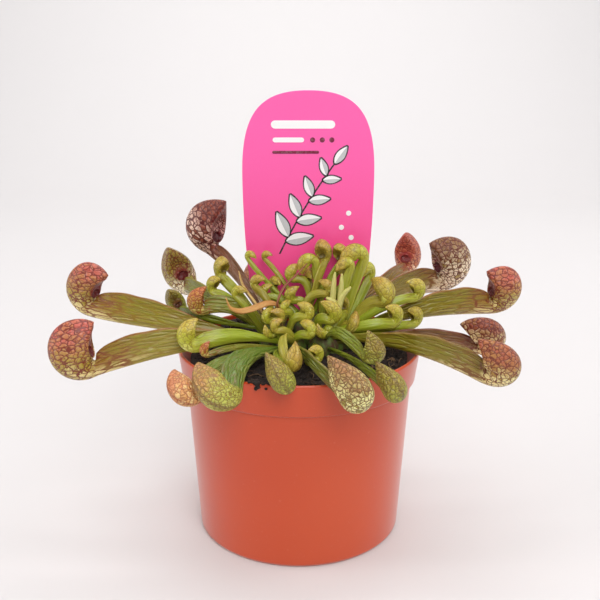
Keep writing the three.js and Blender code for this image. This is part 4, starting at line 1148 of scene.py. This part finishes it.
def makeCrumbs(finish):
    draw = random.Random(41)
    edge = innerRadius(soil["edge"]) - soil["gap"] - crumbs["largest"]
    ball = bpy.data.meshes.new("crumb")
    shape = bmesh.new()
    bmesh.ops.create_icosphere(shape, subdivisions=2, radius=1)
    shape.to_mesh(ball)
    shape.free()
    base = np.array([v.co[:] for v in ball.vertices])
    corners = [tuple(face.vertices) for face in ball.polygons]
    bpy.data.meshes.remove(ball)
    points, faces = [], []

    def addCrumb(x, y, z, size):
        first = len(points)
        stretch = np.array([draw.uniform(0.6, 1.3), draw.uniform(0.6, 1.3), draw.uniform(0.4, 0.9)]) * size
        turn = draw.uniform(0, math.pi)
        offset = Vector((draw.uniform(0, 90), draw.uniform(0, 90), 0))
        for x0, y0, z0 in base:
            rough = 1 + 0.5 * noise.noise(Vector((x0, y0, z0)) * 1.7 + offset)
            a, b, c = x0 * stretch[0] * rough, y0 * stretch[1] * rough, z0 * stretch[2] * rough
            points.append((x + a * math.cos(turn) - b * math.sin(turn),
                           y + a * math.sin(turn) + b * math.cos(turn), z + c))
        faces.extend(tuple(first + k for k in corner) for corner in corners)

    for _ in range(crumbs["count"]):
        r, around = edge * math.sqrt(draw.random()), draw.uniform(0, 2 * math.pi)
        x, y = r * math.cos(around), r * math.sin(around)
        size = crumbs["smallest"] + (crumbs["largest"] - crumbs["smallest"]) * draw.random() ** 2.5
        addCrumb(x, y, soilTop(x, y) + size * 0.15, size)
    heapX, heapY = soil["heaps"][0]["at"]
    for _ in range(crumbs["heapCrumbs"]):
        x = heapX + draw.gauss(crumbs["heapOff"], crumbs["heapScatter"])
        y = heapY + draw.gauss(crumbs["heapOff"], crumbs["heapScatter"])
        if math.hypot(x, y) < edge:
            addCrumb(x, y, soilTop(x, y) + 0.2, draw.uniform(0.5, 1.5))
    for _ in range(crumbs["rimCrumbs"]):
        around = math.radians(draw.gauss(crumbs["rimBearing"], crumbs["rimScatter"]))
        r = draw.uniform(crumbs["rimFrom"], crumbs["rimTo"])
        size = draw.uniform(0.4, 1.0)
        spill = max(0, r - crumbs["spillFrom"]) * crumbs["spillSlope"]
        addCrumb(r * math.cos(around), r * math.sin(around), pot["height"] + size * 0.3 - spill, size)
    seat(makePiece("peat_crumbs", points, faces, finish), "soil")


def makeFibres():
    draw = random.Random(17)
    finish, tree, shader = newFinish("root_fibre", 0.8)
    patch = eased(tree, noiseOf(tree, placeOf(tree), 200.0), 0.35, 0.65)
    colour = mixed(tree, patch, fibres["dark"], fibres["light"])
    tree.links.new(colour, shader.inputs["Base Color"])
    points, faces = [], []
    edge = innerRadius(soil["edge"]) - fibres["clear"]
    steps, sides = fibres["steps"], fibres["sides"]
    for _ in range(fibres["count"]):
        r, around = edge * math.sqrt(draw.random()), draw.uniform(0, 2 * math.pi)
        x, y = r * math.cos(around), r * math.sin(around)
        heading, bend = draw.uniform(0, 2 * math.pi), draw.uniform(-fibres["bend"], fibres["bend"])
        length = draw.uniform(fibres["shortest"], fibres["longest"])
        thick = fibres["thickness"] * draw.uniform(0.6, 1.3)
        first = len(points)
        count = 0
        for i in range(steps):
            if math.hypot(x, y) > edge:
                break
            high = soilTop(x, y) + fibres["lift"] + fibres["arch"] * math.sin(math.pi * i / (steps - 1))
            for k in range(sides):
                a = 2 * math.pi * k / sides
                off = thick * math.cos(a)
                points.append((x - math.sin(heading) * off, y + math.cos(heading) * off,
                               high + thick * math.sin(a)))
            count += 1
            x += math.cos(heading) * length / steps
            y += math.sin(heading) * length / steps
            heading += bend
        for i in range(count - 1):
            near, far = first + sides * i, first + sides * (i + 1)
            for k in range(sides):
                faces.append((near + k, near + (k + 1) % sides, far + (k + 1) % sides, far + k))
        if count > 1:
            last = first + sides * (count - 1)
            faces.append(tuple(range(first + sides - 1, first - 1, -1)))
            faces.append(tuple(range(last, last + sides)))
        else:
            del points[first:]
    seat(makePiece("root_fibres", points, faces, finish), "soil")


peat = peatFinish()
makeSoil(peat)
makeCrumbs(peat)
makeFibres()
print("peat, crumbs and fibres made")

# the plant tag: a flat plastic card on a stake, with a plain leaf design of our own
tag = {
    "x": 3.5, "y": 21, "thickness": 0.8, "top": 163, "width": 50, "widest": 132, "shoulder": 18, "drop": 8,
    "waistWidth": 46, "waist": 92, "flare": 5, "stakeTop": 78, "stakeWidth": 12, "stakeFoot": 34, "tip": 26,
    "edgeRounding": 0.18, "curveSteps": 28, "stakeSteps": 12,
}
tagLook = {
    "upper": paint(255, 100, 176), "lower": paint(255, 84, 154), "pale": paint(255, 170, 210),
    "fade": (0.09, 0.15), "roughness": 0.34, "speck": 2200.0, "grain": 700.0, "bumps": 0.00002,
}
tagPrint = {
    "stem": ((-11, 101), (-3, 118), (10, 136)), "stemHalf": 0.35, "stemSteps": 40, "line": 0.45,
    "leafPairs": 4, "leafLength": 10.5, "leafWidth": 4.4, "leafSteps": 18, "leafLean": math.radians(52),
    "firstPair": 6, "pairsApart": 9, "shrinking": 0.12, "tipLeaf": 0.75,
    "whiteBars": [((-12.5, 150.5), (8.5, 150.5), 3.0), ((-12.5, 144.8), (-2.5, 144.8), 1.8)],
    "whiteDots": [(15.5, 117), (12.8, 111.5), (16.6, 107.5)], "whiteDot": 1.0,
    "maroonBar": ((-13, 140.2), (3.5, 140.2), 1.1),
    "maroonDots": [(1.6, 144.8), (5.2, 144.8), (8.8, 144.8)], "maroonDot": 0.95,
    "ink": paint(44, 22, 34), "white": paint(250, 248, 248), "grey": paint(196, 196, 198),
    "maroon": paint(118, 14, 52), "paler": 0.08, "thickness": 0.05, "sunk": 0.02,
}


def bent(points, steps):
    # a curve with two, three or four given points, as a list without its first point
    points = [np.array(p, float) for p in points]
    result = []
    for t in np.linspace(0, 1, steps + 1)[1:]:
        level = points
        while len(level) > 1:
            level = [a + (b - a) * t for a, b in zip(level, level[1:])]
        result.append(level[0])
    return result


def tagOutline():
    half, waist, stake = tag["width"] / 2, tag["waistWidth"] / 2, tag["stakeWidth"] / 2
    foot, stakeTop, top = tag["stakeFoot"], tag["stakeTop"], tag["top"]
    narrow, widest = tag["waist"], tag["widest"]
    steps = tag["curveSteps"]
    right = [np.array((0.0, tag["tip"])), np.array((stake, foot))]
    right += bent([(stake, foot), (stake, stakeTop)], tag["stakeSteps"])
    right += bent([(stake, stakeTop), (waist, stakeTop + tag["flare"]), (waist, narrow)], steps)
    right += bent([(waist, narrow), (half, (narrow + widest) / 2), (half, widest)], steps)
    right += bent([(half, widest), (half, top - tag["drop"]), (tag["shoulder"], top), (0, top)], steps)
    left = [np.array((-x, z)) for x, z in right[-2:0:-1]]
    return np.array(right + left)


def inset(outline, amount):
    before, after = np.roll(outline, 1, axis=0), np.roll(outline, -1, axis=0)
    along = after - before
    along /= np.linalg.norm(along, axis=1)[:, None]
    return outline + np.stack([-along[:, 1], along[:, 0]], axis=1) * amount


def cardPiece(name, outlines, front, back, rounding, finish):
    # flat closed shapes in the tag's plane, with slightly rounded edges
    points, faces = [], []
    for outline in outlines:
        count = len(outline)
        first = len(points)
        thick = back - front
        levels = [(rounding, front), (rounding * 0.3, front + rounding * 0.3), (0, front + rounding),
                  (0, back - rounding), (rounding * 0.3, back - rounding * 0.3), (rounding, back)]
        if rounding == 0 or thick < 2 * rounding:
            levels = [(0, front), (0, back)]
        for amount, y in levels:
            points += [(tag["x"] + u, y, v) for u, v in inset(outline, amount)]
        faces.append(tuple(range(first, first + count)))
        for i in range(len(levels) - 1):
            near = first + i * count
            for j in range(count):
                k = (j + 1) % count
                faces.append((near + k, near + j, near + count + j, near + count + k))
        last = first + (len(levels) - 1) * count
        faces.append(tuple(range(last + count - 1, last - 1, -1)))
    return makePiece(name, points, faces, finish, smooth=False)


def tagFinish():
    finish, tree, shader = newFinish("pink_card", tagLook["roughness"])
    position = placeOf(tree)
    fade = eased(tree, partsOf(tree, position)[2], *tagLook["fade"])
    speck = noiseOf(tree, position, tagLook["speck"], 1.0)
    colour = mixed(tree, fade, tagLook["lower"], tagLook["upper"])
    colour = mixed(tree, eased(tree, speck, 0.55, 0.8, 0.0, 0.06), colour, tagLook["pale"])
    tree.links.new(colour, shader.inputs["Base Color"])
    raised(tree, shader, noiseOf(tree, position, tagLook["grain"], 2.0), tagLook["bumps"], 0.4)
    return finish


def inkFinish(name, colour):
    finish, tree, shader = newFinish(name, 0.4)
    speck = noiseOf(tree, placeOf(tree), 1500.0, 2.0)
    paler = tuple(c + (1 - c) * tagPrint["paler"] for c in colour[:3]) + (1.0,)
    tree.links.new(mixed(tree, eased(tree, speck, 0.4, 0.7), colour, paler), shader.inputs["Base Color"])
    return finish


def leafOutline(base, heading, length, width, grow=0.0):
    # a pointed leaf shape, drawn from its foot
    share = np.linspace(0, 1, tagPrint["leafSteps"])
    half = width / 2 * np.sin(math.pi * share ** 0.85) ** 0.9 + grow
    along = share * (length + 2 * grow) - grow
    ways = np.array([math.cos(heading), math.sin(heading)])
    side = np.array([-ways[1], ways[0]])
    left = [np.array(base) + ways * a - side * h for a, h in zip(along, half)]
    right = [np.array(base) + ways * a + side * h for a, h in zip(along[::-1], half[::-1])]
    return np.array(left + right)


def discOutline(centre, radius):
    angles = np.linspace(0, 2 * math.pi, 28, endpoint=False)
    return np.array(centre) + radius * np.stack([np.cos(angles), np.sin(angles)], axis=1)


def barOutline(start, end, width):
    start, end = np.array(start, float), np.array(end, float)
    heading = math.atan2(*(end - start)[::-1])
    turn = np.linspace(-math.pi / 2, math.pi / 2, 9)

    def cap(centre, way):
        return [centre + width / 2 * np.array([math.cos(way + a), math.sin(way + a)]) for a in turn]

    return np.array(cap(end, heading) + cap(start, heading + math.pi))


def makeTag():
    front, back = tag["y"], tag["y"] + tag["thickness"]
    card = cardPiece("tag_card", [tagOutline()], front, back, tag["edgeRounding"], tagFinish())
    seat(card, "tag", "tag")
    look = tagPrint
    ink, white, grey, maroon = [], [], [], []
    stem = [np.array(p, float) for p in look["stem"]]
    line = stem[:1] + bent(stem, look["stemSteps"])
    tips = []
    for i in range(look["leafPairs"]):
        at = look["firstPair"] + i * look["pairsApart"]
        slope = line[at + 1] - line[at]
        heading = math.atan2(slope[1], slope[0])
        size = 1 - look["shrinking"] * i
        tips.append((line[at + 2], heading + look["leafLean"], size))
        tips.append((line[at], heading - look["leafLean"], size))
    slope = line[-1] - line[-2]
    tips.append((line[-1], math.atan2(slope[1], slope[0]), look["tipLeaf"]))
    for base, heading, size in tips:
        length, width = look["leafLength"] * size, look["leafWidth"] * size
        ink.append(leafOutline(base, heading, length, width, look["line"]))
        full, thin = (leafOutline(base, heading, length, wide) for wide in (width, 0.25))
        white.append(full)
        grey.append(np.concatenate([full[:look["leafSteps"]], thin[look["leafSteps"]:]]))
    beside = np.array([look["stemHalf"], 0])
    ink.append(np.array([p + beside for p in line] + [p - beside for p in line[::-1]]))
    white += [barOutline(*bar) for bar in look["whiteBars"]]
    white += [discOutline(spot, look["whiteDot"]) for spot in look["whiteDots"]]
    maroon += [discOutline(spot, look["maroonDot"]) for spot in look["maroonDots"]]
    maroon.append(barOutline(*look["maroonBar"]))
    # the layers of print lie on one another, the first nearest the card
    layers = [("ink", ink, 1), ("white", white, 2), ("grey", grey, 3), ("maroon", maroon, 2)]
    for name, shapes, layer in layers:
        finish = inkFinish("tag_" + name + "_finish", look[name])
        start = front - layer * look["thickness"]
        seat(cardPiece("tag_" + name, shapes, start, front + look["sunk"], 0, finish), "tag")


makeTag()
print("tag made")


# the studio: a pale floor that sweeps up behind, a soft light all round and large soft boxes
studio = {
    "floor": paint(216, 213, 213), "shade": paint(210, 206, 206),
    "floorFront": -2500, "floorBack": 700, "sweep": 500, "wallTop": 2500, "halfWidth": 3000,
    "sky": 0.23, "skyTint": (1.0, 0.99, 0.985, 1.0),
    "lamps": [
        dict(name="left_box", place=(-760, -60, 330), size=520, power=2.6, aim=(0, 0, 70)),
        dict(name="right_box", place=(780, 120, 330), size=520, power=2.2, aim=(0, 0, 70)),
        dict(name="top_box", place=(60, -60, 1000), size=800, power=3.2, aim=(0, 0, 70)),
        dict(name="front_box", place=(260, -900, 900), size=600, power=5.4, aim=(0, 0, 60)),
        dict(name="near_box", place=(60, -560, 380), size=300, power=1.0, aim=(0, -110, 10)),
        dict(name="floor_box", place=(0, -330, 330), size=120, power=0.022, aim=(0, -120, 0), spread=50),
        dict(name="back_box", place=(0, 620, 1400), size=900, power=15, aim=(0, 1250, 800)),
    ],
}


def setStudio():
    finish, tree, shader = newFinish("floor", 0.75)
    grain = eased(tree, noiseOf(tree, placeOf(tree), 30.0), 0.2, 0.8, 0.0, 0.06)
    tree.links.new(mixed(tree, grain, studio["floor"], studio["shade"]), shader.inputs["Base Color"])
    back, sweep, half = studio["floorBack"], studio["sweep"], studio["halfWidth"]
    angles = np.linspace(0.1, math.pi / 2, 12)
    profile = [(studio["floorFront"], 0), (back, 0)]
    profile += [(back + sweep * math.sin(a), sweep - sweep * math.cos(a)) for a in angles]
    profile += [(back + sweep, studio["wallTop"])]
    points = [(x, y, z) for y, z in profile for x in (-half, half)]
    faces = [(2 * i, 2 * i + 1, 2 * i + 3, 2 * i + 2) for i in range(len(profile) - 1)]
    makePiece("floor", points, faces, finish)
    for lamp in studio["lamps"]:
        data = bpy.data.lights.new(lamp["name"], "AREA")
        data.size = lamp["size"] * mm
        data.energy = lamp["power"]
        data.spread = math.radians(lamp.get("spread", 180))
        light = bpy.data.objects.new(lamp["name"], data)
        light.location = Vector(lamp["place"]) * mm
        light.rotation_euler = (Vector(lamp["aim"]) * mm - light.location).to_track_quat("-Z", "Y").to_euler()
        bpy.context.scene.collection.objects.link(light)
    world = bpy.data.worlds.new("soft_light")
    world.use_nodes = True
    background = world.node_tree.nodes["Background"]
    background.inputs["Color"].default_value = studio["skyTint"]
    background.inputs["Strength"].default_value = studio["sky"]
    bpy.context.scene.world = world


setStudio()
print("studio set")
